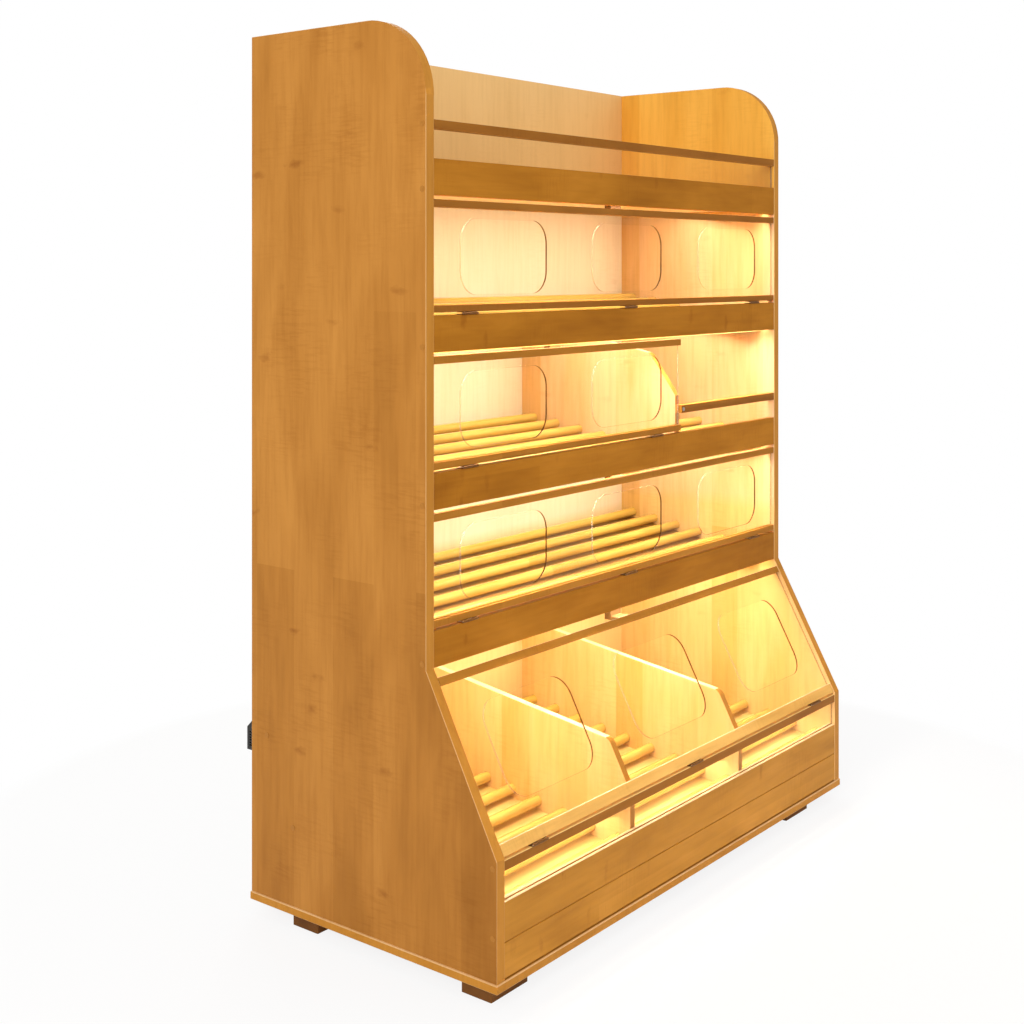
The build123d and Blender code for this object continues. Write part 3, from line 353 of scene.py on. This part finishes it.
clearLooks = {
    "clearSheet": {"tint": (0.985, 0.98, 0.96), "tintDark": (0.975, 0.968, 0.945), "inner": (0.985, 0.98, 0.96),
                   "ior": 1.25, "gather": 0.0, "roughness": 0.03, "hazeScale": 4.0, "glow": 0.0,
                   "glowColour": (1.0, 0.95, 0.84)},
    "clearEdge": {"tint": (0.24, 0.13, 0.035), "tintDark": (0.15, 0.075, 0.015), "inner": (0.80, 0.70, 0.50),
                  "ior": 1.45, "gather": 0.06, "roughness": 0.12, "hazeScale": 30.0, "glow": 0.18,
                  "glowColour": (1.0, 0.95, 0.84)},
}
clearSheet, clearEdge = [clearMaterial(name, look) for name, look in clearLooks.items()]
ledGlow = plainMaterial("ledGlow", (1.0, 0.84, 0.52), 0.5, emission=((1.0, 0.82, 0.50), 7.0))
ledChannel = plainMaterial("ledChannel", (0.72, 0.72, 0.70), 0.35, 1.0, 400)
darkHinge = plainMaterial("darkHinge", (0.20, 0.078, 0.014), 0.42, 0.7, 600)
screwSteel = plainMaterial("screwSteel", (0.6, 0.58, 0.54), 0.35, 1.0, 500)
capPlastic = plainMaterial("capPlastic", (0.43, 0.172, 0.023), 0.45, 0.0, 300, specular=0.25)
catchPlastic = plainMaterial("catchPlastic", (0.14, 0.07, 0.022), 0.4, 0.0, 300)
blackSheet = plainMaterial("blackSheet", (0.014, 0.013, 0.012), 0.42, 0.0, 500, 0.12)
blackNylon = plainMaterial("blackNylon", (0.02, 0.02, 0.021), 0.5, 0.0, 900, 0.15)

slotFinish = {
    "maple_board": boards["outerSide"], "pale_board": boards["innerSide"], "front_board": boards["fascia"],
    "front_rail": boards["rail"], "rod_wood": boards["rod"], "dark_foot": boards["footWood"],
    "clear_acrylic": clearSheet, "led_channel": ledChannel, "led_diffuser": ledGlow, "black_housing": blackSheet,
    "black_plastic": blackNylon, "cap_plastic": capPlastic, "steel_screw": screwSteel,
    "catch_plastic": catchPlastic, "hinge_bronze": darkHinge,
}
for part in frame["record"]["subparts"]:
    piece = nodes[part["node"]]
    piece.data.materials.clear()
    piece.data.materials.append(slotFinish[part["material_slot"]])
print("materials made:", len(bpy.data.materials))


# Dressed copies of the boards: same shape, with eased edges and a finish for each kind of face
def nothingSelected():
    if bpy.context.object and bpy.context.object.mode != "OBJECT":
        bpy.ops.object.mode_set(mode="OBJECT")
    bpy.ops.object.select_all(action="DESELECT")


def makeActive(piece):
    nothingSelected()
    piece.select_set(True)
    bpy.context.view_layer.objects.active = piece


cleaning = {"mergeDistance": 0.00002, "flatAngle": 1.0, "smoothAngle": 32}


def copyOfNode(nodeName, pieceName):
    piece = nodes[nodeName].copy()
    piece.data = nodes[nodeName].data.copy()
    piece.name = pieceName
    piece.parent = None
    bpy.context.scene.collection.objects.link(piece)
    makeActive(piece)
    bpy.ops.object.mode_set(mode="EDIT")
    bpy.ops.mesh.select_all(action="SELECT")
    bpy.ops.mesh.remove_doubles(threshold=cleaning["mergeDistance"])
    bpy.ops.mesh.dissolve_limited(angle_limit=math.radians(cleaning["flatAngle"]))
    bpy.ops.object.mode_set(mode="OBJECT")
    return piece


def easeEdges(piece, width, shortest, sharpest=25.0):
    makeActive(piece)
    mesh = piece.data
    bpy.ops.object.mode_set(mode="EDIT")
    bpy.ops.mesh.select_mode(type="EDGE")
    bpy.ops.mesh.select_all(action="DESELECT")
    bpy.ops.object.mode_set(mode="OBJECT")
    sides = {}
    for polygon in mesh.polygons:
        for key in polygon.edge_keys:
            sides.setdefault(key, []).append(polygon.normal)
    for edge in mesh.edges:
        pair = sides.get(tuple(sorted(edge.vertices)), [])
        length = (mesh.vertices[edge.vertices[0]].co - mesh.vertices[edge.vertices[1]].co).length
        if len(pair) == 2 and length > shortest and pair[0].angle(pair[1]) > math.radians(sharpest):
            edge.select = True
    bpy.ops.object.mode_set(mode="EDIT")
    bpy.ops.mesh.bevel(offset=width, segments=2, affect="EDGES", clamp_overlap=True)
    bpy.ops.object.mode_set(mode="OBJECT")


def giveSkins(piece, skins, pick):
    piece.data.materials.clear()
    for skin in skins:
        piece.data.materials.append(skin)
    for polygon in piece.data.polygons:
        polygon.material_index = pick(polygon.normal, polygon.center)


def standFor(piece, nodeName):
    makeActive(piece)
    bpy.ops.object.shade_smooth_by_angle(angle=math.radians(cleaning["smoothAngle"]))
    even = piece.modifiers.new("evenNormals", "WEIGHTED_NORMAL")
    even.keep_sharp = True
    bpy.ops.object.modifier_apply(modifier=even.name)
    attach(piece, bodyOf[nodeName])
    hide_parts(nodeName)


# Skin pickers: which finish of its set a face takes, by how far one part of its normal reaches
faceReach = {"flat": 0.98, "eased": 0.05, "front": 0.6, "litTop": 0.3, "slantTop": 0.6, "under": 0.5,
             "dividerSide": 0.7, "dividerFront": 0.3, "outside": 0.5, "sheet": 0.7, "sheetLean": 0.02}
sideFaces = {"outer": 0.7495, "inner": 0.7256, "pocketDepth": 0.7349, "pocketReach": 0.30}


def sideSkin(normal, centre):
    across, depth = abs(normal.x), abs(centre.x)
    if across > faceReach["flat"] and depth > sideFaces["outer"]:
        return 0
    if across > faceReach["flat"] and depth < sideFaces["inner"]:
        return 1
    if faceReach["eased"] < across < faceReach["flat"]:
        return 3  # eased corner: painted highlight
    pocket = depth < sideFaces["pocketDepth"] and abs(centre.y) < sideFaces["pocketReach"]
    return 1 if pocket else 2  # the wall of a housing, or the edge band


def frontSkin(normal, centre):
    if normal.y < -faceReach["front"]:
        return 0
    return 1 if normal.y > faceReach["front"] else 2


# Faces turned up take the painted light of the set's last skin
def litTopSkin(normal, centre):
    return 3 if normal.z > faceReach["litTop"] else frontSkin(normal, centre)


# Faces turned up take the painted light
def slantSkin(normal, centre):
    return 1 if normal.z > faceReach["slantTop"] else 0


# Base board: flat faces take the edge band, eased corners the painted highlight
def baseSkin(normal, centre):
    return 0 if max(abs(normal.x), abs(normal.y), abs(normal.z)) > faceReach["flat"] else 1


# Faces turned down take the paler painted light
def shelfSkin(normal, centre):
    return 1 if normal.z < -faceReach["under"] else 0


# Divider edges other than the sides and front take the pale painted light
def dividerSkin(normal, centre):
    if abs(normal.x) > faceReach["dividerSide"]:
        return 0
    return 2 if normal.y < -faceReach["dividerFront"] else 1


def backSkin(normal, centre):
    return 0 if normal.y < faceReach["outside"] else 1


def oneSkin(normal, centre):
    return 0


skinSets = {
    "side": (sideSkin, ("outerSide", "innerSide", "edgeBand", "paintedEdgeHighlight")),
    "front": (frontSkin, ("fascia", "innerSide", "edgeBand")),
    "plinth": (frontSkin, ("plinth", "innerSide", "edgeBand")),
    "plinthTop": (litTopSkin, ("plinth", "innerSide", "edgeBand", "paintedLightPale")),
    "rail": (frontSkin, ("rail", "rail", "edgeBand")),
    "litRail": (litTopSkin, ("rail", "rail", "edgeBand", "paintedLightLine")),
    "slant": (slantSkin, ("slantRail", "paintedLightPale")),
    "slantTop": (slantSkin, ("warmRail", "paintedLightPale")),
    "warmRail": (frontSkin, ("warmRail", "warmRail", "edgeBand")),
    "divider": (dividerSkin, ("innerSide", "paintedLightPale", "edgeBand")),
    "shelf": (shelfSkin, ("shelfBoard", "shelfUnder")),
    "tray": (shelfSkin, ("trayBoard", "shelfUnder")),
    "rodShelf": (shelfSkin, ("paintedShadeUnderRods", "shelfUnder")),
    "back": (backSkin, ("backInside", "backOutside")),
    "base": (baseSkin, ("edgeBand", "paintedEdgeHighlight")),
    "foot": (oneSkin, ("footWood",)),
}
boardDress = {  # node: skin set, edge ease in metres, shortest edge that is eased
    "side_panel_left": ("side", 0.0013, 0.02), "side_panel_right": ("side", 0.0013, 0.02),
    "base_board": ("base", 0.0016, 0.02), "foot_blocks": ("foot", 0.0012, 0.02),
    "back_panel": ("back", 0.0004, 0.02), "top_board": ("tray", 0.0005, 0.02),
    "top_fascia": ("front", 0.0003, 0.02), "second_fascia": ("front", 0.0003, 0.02),
    "third_fascia": ("front", 0.0003, 0.02), "fourth_fascia": ("front", 0.0003, 0.02),
    "plinth_lower_board": ("plinth", 0.0003, 0.02), "plinth_upper_board": ("plinthTop", 0.0008, 0.02),
    "top_guard_rail": ("rail", 0.0003, 0.015), "fixed_lower_rail": ("litRail", 0.0006, 0.015),
    "bay_guard_bar": ("rail", 0.0003, 0.015), "flap_1_hinge_rail": ("rail", 0.0003, 0.012),
    "flap_2_hinge_rail": ("warmRail", 0.0003, 0.012), "flap_3_hinge_rail": ("warmRail", 0.0003, 0.012),
    "flap_4_hinge_rail": ("slant", 0.0009, 0.012), "flap_1_handle_rail": ("rail", 0.0003, 0.012),
    "flap_2_handle_rail": ("warmRail", 0.0003, 0.012), "flap_3_handle_rail": ("warmRail", 0.0003, 0.012),
    "flap_4_handle_rail": ("slantTop", 0.0007, 0.012), "second_tier_divider": ("divider", 0.0008, 0.006),
    "fourth_tier_divider_left": ("divider", 0.0008, 0.006), "fourth_tier_divider_right": ("divider", 0.0008, 0.006),
    "first_tier_crumb_board": ("shelf", 0.0004, 0.02), "second_tier_crumb_board": ("rodShelf", 0.0004, 0.02),
    "third_tier_crumb_board": ("rodShelf", 0.0004, 0.02), "fourth_tier_crumb_board": ("shelf", 0.0004, 0.02),
}
for nodeName, (skinSet, ease, shortest) in boardDress.items():
    pick, skinNames = skinSets[skinSet]
    piece = copyOfNode(nodeName, "dressed_" + nodeName)
    easeEdges(piece, ease, shortest)
    giveSkins(piece, [boards[skin] for skin in skinNames], pick)
    standFor(piece, nodeName)
print("boards dressed:", len(boardDress))


def paneSkin(normal, centre):
    return 0 if abs(normal.x) < faceReach["sheetLean"] and abs(normal.y) > faceReach["sheet"] else 1


paneDress = {"nodes": ("top_guard_pane", "lower_window_pane", "flap_1_pane", "flap_2_pane", "flap_3_pane",
                       "flap_4_pane"),
             "ease": 0.00045, "shortest": 0.004}
for nodeName in paneDress["nodes"]:
    piece = copyOfNode(nodeName, "dressed_" + nodeName)
    easeEdges(piece, paneDress["ease"], paneDress["shortest"])
    giveSkins(piece, [clearSheet, clearEdge], paneSkin)
    standFor(piece, nodeName)
print("clear panes dressed:", len(paneDress["nodes"]))


# Butt hinges: leaves with rounded knuckles, a pin with eased ends
hingeLook = {"width": 0.050, "barrel": 0.0028 * 0.985, "sides": 20, "pin": 0.0016, "pinLength": 0.0506,
             "endKnuckle": 0.01637, "middleKnuckle": 0.01667, "plate": 0.0015, "plateDepth": 0.0137,
             "plateStart": 0.0033, "webReach": 0.0043, "gap": 0.006, "ease": 0.0004, "webEase": 0.0002,
             "pinEase": 0.0005}
squareEdge = 50.0  # only corners sharper than this many degrees are eased on round bars and plates


def roundBar(radius, length, centre, ease):
    nothingSelected()
    bpy.ops.mesh.primitive_cylinder_add(vertices=hingeLook["sides"], radius=radius, depth=length,
                                        location=centre, rotation=(0, math.radians(90), 0))
    bar = bpy.context.object
    bpy.ops.object.transform_apply(location=True, rotation=True, scale=True)
    easeEdges(bar, ease, 0.0, squareEdge)
    return bar


def plateBar(width, depth, height, centre, ease):
    nothingSelected()
    bpy.ops.mesh.primitive_cube_add(size=1, location=centre)
    bar = bpy.context.object
    bar.scale = (width, depth, height)
    bpy.ops.object.transform_apply(location=True, rotation=True, scale=True)
    easeEdges(bar, ease, 0.0, squareEdge)
    return bar


def joinPieces(pieces, name):
    nothingSelected()
    for piece in pieces:
        piece.select_set(True)
    bpy.context.view_layer.objects.active = pieces[0]
    if len(pieces) > 1:
        bpy.ops.object.join()
    joined = bpy.context.object
    joined.name = name
    bpy.ops.object.transform_apply(location=True, rotation=True, scale=True)
    return joined


def hingeLeaf(side, x, y, z):
    look = hingeLook
    plateZ = z + side * (look["gap"] / 2 - look["plate"] / 2)
    bars = [plateBar(look["width"], look["plateDepth"], look["plate"],
                     (x, y + look["plateStart"] + look["plateDepth"] / 2, plateZ), look["ease"])]
    if side > 0:
        spans = [(0.0, look["middleKnuckle"])]
    else:
        offset = (look["width"] - look["endKnuckle"]) / 2
        spans = [(-offset, look["endKnuckle"]), (offset, look["endKnuckle"])]
    for shift, length in spans:
        bars.append(roundBar(look["barrel"], length, (x + shift, y, z), look["ease"]))
        bars.append(plateBar(length, look["webReach"], look["plate"], (x + shift, y + look["webReach"] / 2, plateZ),
                             look["webEase"]))
    return bars


def hingeRow(flapNumber):
    low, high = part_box("flap_%d_hinge_leaves" % flapNumber)
    first, last = low.x + hingeLook["width"] / 2, high.x - hingeLook["width"] / 2
    middle = [] if flapNumber == 2 else [(first + last) / 2]
    return [first, *middle, last]


hingePlace = {joint["child"]: joint["pos_m"] for joint in frame["record"]["behaviour"]["joints"]}
fixedBars, pinBars = [], []
for flapNumber in (1, 2, 3, 4):
    place = hingePlace["flap_%d" % flapNumber]
    movingBars = []
    for x in hingeRow(flapNumber):
        movingBars += hingeLeaf(1, x, place[1], place[2])
        fixedBars += hingeLeaf(-1, x, place[1], place[2])
        pinBars.append(roundBar(hingeLook["pin"], hingeLook["pinLength"], (x, place[1], place[2]),
                                hingeLook["pinEase"]))
    nodeName = "flap_%d_hinge_leaves" % flapNumber
    piece = joinPieces(movingBars, "dressed_" + nodeName)
    giveSkins(piece, [darkHinge], oneSkin)
    standFor(piece, nodeName)
for bars, nodeName in ((fixedBars, "hinge_fixed_leaves"), (pinBars, "hinge_pins")):
    piece = joinPieces(bars, "dressed_" + nodeName)
    giveSkins(piece, [darkHinge if nodeName == "hinge_fixed_leaves" else screwSteel], oneSkin)
    standFor(piece, nodeName)
print("hinges dressed")


# Rods keep their round section, smoothed; catches, strike plates and the housing get eased edges
plainDress = {  # node: finish, edge ease in metres, shortest edge that is eased
    "first_tier_rods": (boards["rod"], 0, 0), "second_tier_rods": (boards["rod"], 0, 0),
    "third_tier_rods": (boards["rod"], 0, 0), "fourth_tier_rods": (boards["rod"], 0, 0),
    "magnetic_catches": (catchPlastic, 0.0009, 0.004), "flap_1_strike_plate": (screwSteel, 0.0004, 0.004),
    "flap_2_strike_plate": (screwSteel, 0.0004, 0.004), "flap_3_strike_plate": (screwSteel, 0.0004, 0.004),
    "flap_4_strike_plate": (screwSteel, 0.0004, 0.004), "power_supply_housing": (blackSheet, 0.0005, 0.02),
    "led_profiles": (ledChannel, 0.0002, 0.02),
}
for nodeName, (finish, ease, shortest) in plainDress.items():
    piece = copyOfNode(nodeName, "dressed_" + nodeName)
    if ease:
        easeEdges(piece, ease, shortest)
    giveSkins(piece, [finish], oneSkin)
    standFor(piece, nodeName)
print("rods and fittings dressed:", len(plainDress))


def islandBoxes(nodeName):
    piece = copyOfNode(nodeName, "measure_" + nodeName)
    makeActive(piece)
    bpy.ops.object.mode_set(mode="EDIT")
    bpy.ops.mesh.select_all(action="SELECT")
    bpy.ops.mesh.separate(type="LOOSE")
    bpy.ops.object.mode_set(mode="OBJECT")
    boxes = []
    for island in list(bpy.context.selected_objects):
        points = [vertex.co for vertex in island.data.vertices]
        low = Vector([min(point[axis] for point in points) for axis in range(3)])
        high = Vector([max(point[axis] for point in points) for axis in range(3)])
        boxes.append((low, high))
        bpy.data.objects.remove(island)
    return boxes


def copyTo(model, place, turn):
    piece = model.copy()
    piece.data = model.data.copy()
    bpy.context.scene.collection.objects.link(piece)
    piece.location = place
    piece.rotation_euler = turn
    return piece


def pushTopIn(piece, inset, drop):
    makeActive(piece)
    bpy.ops.object.mode_set(mode="EDIT")
    bpy.ops.mesh.select_mode(type="FACE")
    bpy.ops.mesh.select_all(action="DESELECT")
    bpy.ops.object.mode_set(mode="OBJECT")
    highest = max(polygon.center.z for polygon in piece.data.polygons)
    for polygon in piece.data.polygons:
        polygon.select = polygon.center.z > highest - 1e-6
    bpy.ops.object.mode_set(mode="EDIT")
    bpy.ops.mesh.inset(thickness=inset, depth=0)
    bpy.ops.transform.translate(value=(0, 0, -drop))
    bpy.ops.object.mode_set(mode="OBJECT")


def disc(sides, radius, depth, z):
    nothingSelected()
    bpy.ops.mesh.primitive_cylinder_add(vertices=sides, radius=radius, depth=depth, location=(0, 0, z))
    bpy.ops.object.transform_apply(location=True, rotation=True, scale=True)
    return bpy.context.object


def cutAway(piece, cutter):
    makeActive(piece)
    cut = piece.modifiers.new("cutAway", "BOOLEAN")
    cut.operation = "DIFFERENCE"
    cut.solver = "EXACT"
    cut.object = cutter
    bpy.ops.object.modifier_apply(modifier=cut.name)
    bpy.data.objects.remove(cutter)


# Press-in cap: a thin disc with a rounded rim and a slightly dished middle, its plug behind it
rimAngle = 60.0  # only corners sharper than this many degrees are eased on discs
discSides = {"seen": 28, "hidden": 16, "hex": 6}
capLook = {"radius": 0.006, "thickness": 0.0012, "rim": 0.0005, "dish": 0.00025, "inset": 0.0013,
           "plugRadius": 0.0046, "plugLength": 0.003}
cap = disc(discSides["seen"], capLook["radius"], capLook["thickness"], capLook["thickness"] / 2)
pushTopIn(cap, capLook["inset"], capLook["dish"])
easeEdges(cap, capLook["rim"], 0.0, rimAngle)
plug = disc(discSides["hidden"], capLook["plugRadius"], capLook["plugLength"], -capLook["plugLength"] / 2)
cap = joinPieces([cap, plug], "capModel")
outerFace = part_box("side_panel_right")[1].x
capCopies = []
for low, high in islandBoxes("cover_caps"):
    sense = -1 if high.x < 0 else 1
    capCopies.append(copyTo(cap, (sense * outerFace, (low.y + high.y) / 2, (low.z + high.z) / 2),
                            (0, math.radians(90 * sense), 0)))
bpy.data.objects.remove(cap)
piece = joinPieces(capCopies, "dressed_cover_caps")
giveSkins(piece, [capPlastic], oneSkin)
standFor(piece, "cover_caps")

# Round-headed screw with a cross recess
screwLook = {"head": 0.0047, "height": 0.002, "rim": 0.00072, "crownInset": 0.0017, "crownRise": 0.0003,
             "shank": 0.0023, "length": 0.030, "tipEase": 0.0004, "recess": 0.0055, "slit": 0.0011,
             "recessDepth": 0.0012, "slitEase": 0.0001}
screwHead = disc(discSides["seen"], screwLook["head"], screwLook["height"], screwLook["height"] / 2)
pushTopIn(screwHead, screwLook["crownInset"], -screwLook["crownRise"])
easeEdges(screwHead, screwLook["rim"], 0.0, rimAngle)
for width, depth in ((screwLook["recess"], screwLook["slit"]), (screwLook["slit"], screwLook["recess"])):
    cutAway(screwHead, plateBar(width, depth, 2 * screwLook["recessDepth"],
                                (0, 0, screwLook["height"] + screwLook["crownRise"]), screwLook["slitEase"]))
shank = disc(discSides["hidden"], screwLook["shank"], screwLook["length"], -screwLook["length"] / 2)
easeEdges(shank, screwLook["tipEase"], 0.0, rimAngle)
screwModel = joinPieces([screwHead, shank], "screwModel")
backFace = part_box("back_panel")[1].y
screwCopies = [copyTo(screwModel, ((low.x + high.x) / 2, backFace, (low.z + high.z) / 2), (math.radians(-90), 0, 0))
               for low, high in islandBoxes("back_panel_screws")]
bpy.data.objects.remove(screwModel)
piece = joinPieces(screwCopies, "dressed_back_panel_screws")
giveSkins(piece, [screwSteel], oneSkin)
standFor(piece, "back_panel_screws")
print("caps and screws dressed:", len(capCopies), len(screwCopies))

# Cable gland under the housing: a chamfered nut, a ribbed sleeve and an open throat
glandLook = {"flats": 0.016, "nut": 0.010, "nutEase": 0.0008, "nutAngle": 40.0, "sleeve": 0.006, "length": 0.010,
             "ribs": 3, "ribStep": 0.0003, "ribEase": 0.0007, "throat": 0.004, "throatLength": 0.03}
low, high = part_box("cable_gland")
nutRadius = glandLook["flats"] / 2 / math.cos(math.radians(30))
nut = disc(discSides["hex"], nutRadius, glandLook["nut"], -glandLook["nut"] / 2)
easeEdges(nut, glandLook["nutEase"], 0.0, glandLook["nutAngle"])
bars = [nut]
ribLength = glandLook["length"] / glandLook["ribs"]
for rib in range(glandLook["ribs"]):
    bars.append(disc(discSides["seen"], glandLook["sleeve"] - glandLook["ribStep"] * rib, ribLength,
                     -glandLook["nut"] - ribLength * (rib + 0.5)))
    easeEdges(bars[-1], glandLook["ribEase"], 0.0, rimAngle)
gland = joinPieces(bars, "dressed_cable_gland")
cutAway(gland, disc(discSides["seen"], glandLook["throat"], glandLook["throatLength"],
                    -glandLook["nut"] - glandLook["length"]))
gland.location = ((low.x + high.x) / 2, (low.y + high.y) / 2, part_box("power_supply_housing")[0].z)
makeActive(gland)
bpy.ops.object.transform_apply(location=True, rotation=True, scale=True)
giveSkins(gland, [blackNylon], oneSkin)
standFor(gland, "cable_gland")
print("gland dressed")


# Floor that fades to plain white, the soft lamps, the strips behind the fascias and the camera
floorLook = {"size": 60, "colour": (0.86, 0.855, 0.85), "near": 1.0, "far": 1.6, "lift": 0.86}
white = (1.0, 1.0, 1.0)


def addFloor():
    nothingSelected()
    bpy.ops.mesh.primitive_plane_add(size=floorLook["size"], location=(0, 0, 0))
    floor = bpy.context.object
    floor.name = "floor"
    material = newMaterial("floorPale")
    output = addNode(material, "ShaderNodeOutputMaterial")
    shader = addNode(material, "ShaderNodeBsdfDiffuse")
    feed(material, floorLook["colour"], shader.inputs["Color"])
    glow = addNode(material, "ShaderNodeEmission")
    feed(material, white, glow.inputs["Color"])
    x, y, z = placeParts(material)
    reach = mathNode(material, "SQRT", mathNode(material, "ADD", mathNode(material, "MULTIPLY", x, x),
                                                mathNode(material, "MULTIPLY", y, y)))
    fade = fadeNode(material, reach, floorLook["near"], floorLook["far"])
    fade = mathNode(material, "MAXIMUM", fade, floorLook["lift"])
    path = addNode(material, "ShaderNodeLightPath")
    seen = mathNode(material, "MULTIPLY", fade, path.outputs["Is Camera Ray"])
    pick = addNode(material, "ShaderNodeMixShader")
    join(material, seen, pick.inputs[0])
    join(material, shader.outputs[0], pick.inputs[1])
    join(material, glow.outputs[0], pick.inputs[2])
    join(material, pick.outputs[0], output.inputs[0])
    floor.data.materials.append(material)


addFloor()

worldLook = {"colour": (1.0, 0.985, 0.96), "strength": 0.48}
world = bpy.data.worlds.new("studio")
bpy.context.scene.world = world
world.use_nodes = True
world.node_tree.nodes.clear()
worldOut = addNode(world, "ShaderNodeOutputWorld")
plain = addNode(world, "ShaderNodeBackground")
feed(world, worldLook["colour"], plain.inputs["Color"])
plain.inputs["Strength"].default_value = worldLook["strength"]
backdrop = addNode(world, "ShaderNodeBackground")
feed(world, white, backdrop.inputs["Color"])
path = addNode(world, "ShaderNodeLightPath")
pick = addNode(world, "ShaderNodeMixShader")
join(world, path.outputs["Is Camera Ray"], pick.inputs[0])
join(world, plain.outputs[0], pick.inputs[1])
join(world, backdrop.outputs[0], pick.inputs[2])
join(world, pick.outputs[0], worldOut.inputs[0])


def addLamp(name, place, power, length, depth=None, colour=white, tilt=0, spread=180, glossy=True):
    lampData = bpy.data.lights.new(name, "AREA")
    lampData.size = length
    if depth:
        lampData.shape = "RECTANGLE"
        lampData.size_y = depth
    lampData.energy = power
    lampData.color = colour
    lampData.spread = math.radians(spread)
    lamp = bpy.data.objects.new(name, lampData)
    bpy.context.scene.collection.objects.link(lamp)
    lamp.location = place
    lamp.rotation_euler = (math.radians(tilt), 0, 0)
    lamp.visible_glossy = glossy
    return lamp


studioLamps = {"size": 4.0, "aim": (0, 0, 1.0), "places": {  # name: place, power
    "keyLamp": ((-6.2, -2.2, 3.8), 300), "fillLamp": ((2.5, -6.5, 2.6), 90),
    "backLamp": ((4.5, 5.0, 4.0), 160), "topLamp": ((0.0, 0.5, 6.0), 70)}}
for lampName, (place, power) in studioLamps["places"].items():
    lamp = addLamp(lampName, place, power, studioLamps["size"])
    lamp.rotation_euler = (Vector(studioLamps["aim"]) - Vector(place)).to_track_quat("-Z", "Y").to_euler()

# Each tier's light: the strip itself, and a wash for its light scattered inside the tier
tierLamps = {"length": 1.40, "names": ("top_fascia", "second_fascia", "third_fascia", "fourth_fascia")}
stripLook = {"depth": 0.016, "behind": 0.010, "above": 0.0015, "power": (3.2, 3.5, 3.5, 2.6),
             "colour": (1.0, 0.87, 0.66), "spread": 118}
washLook = {"depth": 0.30, "behind": 0.05, "below": 0.004, "power": (4.8, 4.6, 4.8, 5.4),
            "colour": (1.0, 0.95, 0.67), "tilt": 12}
for fasciaName, stripPower, washPower in zip(tierLamps["names"], stripLook["power"], washLook["power"]):
    low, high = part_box(fasciaName)
    addLamp(fasciaName + "Strip", (0, high.y + stripLook["behind"], low.z + stripLook["above"]), stripPower,
            tierLamps["length"], stripLook["depth"], stripLook["colour"], spread=stripLook["spread"])
    addLamp(fasciaName + "Wash", (0, high.y + washLook["behind"] + washLook["depth"] / 2, low.z - washLook["below"]),
            washPower, tierLamps["length"], washLook["depth"], washLook["colour"], washLook["tilt"], glossy=False)

# Light that reaches the front of the lowest board
frontWash = {"depth": 0.08, "behind": 0.07, "above": 0.08, "power": 0.8, "tilt": -15}
low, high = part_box("fourth_tier_crumb_board")
addLamp("frontWash", (0, low.y + frontWash["behind"], low.z + frontWash["above"]), frontWash["power"],
        tierLamps["length"], frontWash["depth"], washLook["colour"], frontWash["tilt"], glossy=False)

cameraLook = {"place": (-2.9982, -2.1516, 1.4414), "yaw": 51.03, "lens": 52.08, "shift": (0.0294, -0.2390),
              "sensor": 36, "clip": (0.05, 200)}
cameraData = bpy.data.cameras.new("photoCamera")
cameraData.sensor_width = cameraLook["sensor"]
cameraData.lens = cameraLook["lens"]
cameraData.shift_x, cameraData.shift_y = cameraLook["shift"]
cameraData.clip_start, cameraData.clip_end = cameraLook["clip"]
camera = bpy.data.objects.new("photoCamera", cameraData)
bpy.context.scene.collection.objects.link(camera)
camera.location = cameraLook["place"]
camera.rotation_euler = (math.radians(90), 0, math.radians(-cameraLook["yaw"]))
bpy.context.scene.camera = camera
bpy.context.scene.view_settings.view_transform = "Standard"
print("floor, lamps and camera placed")
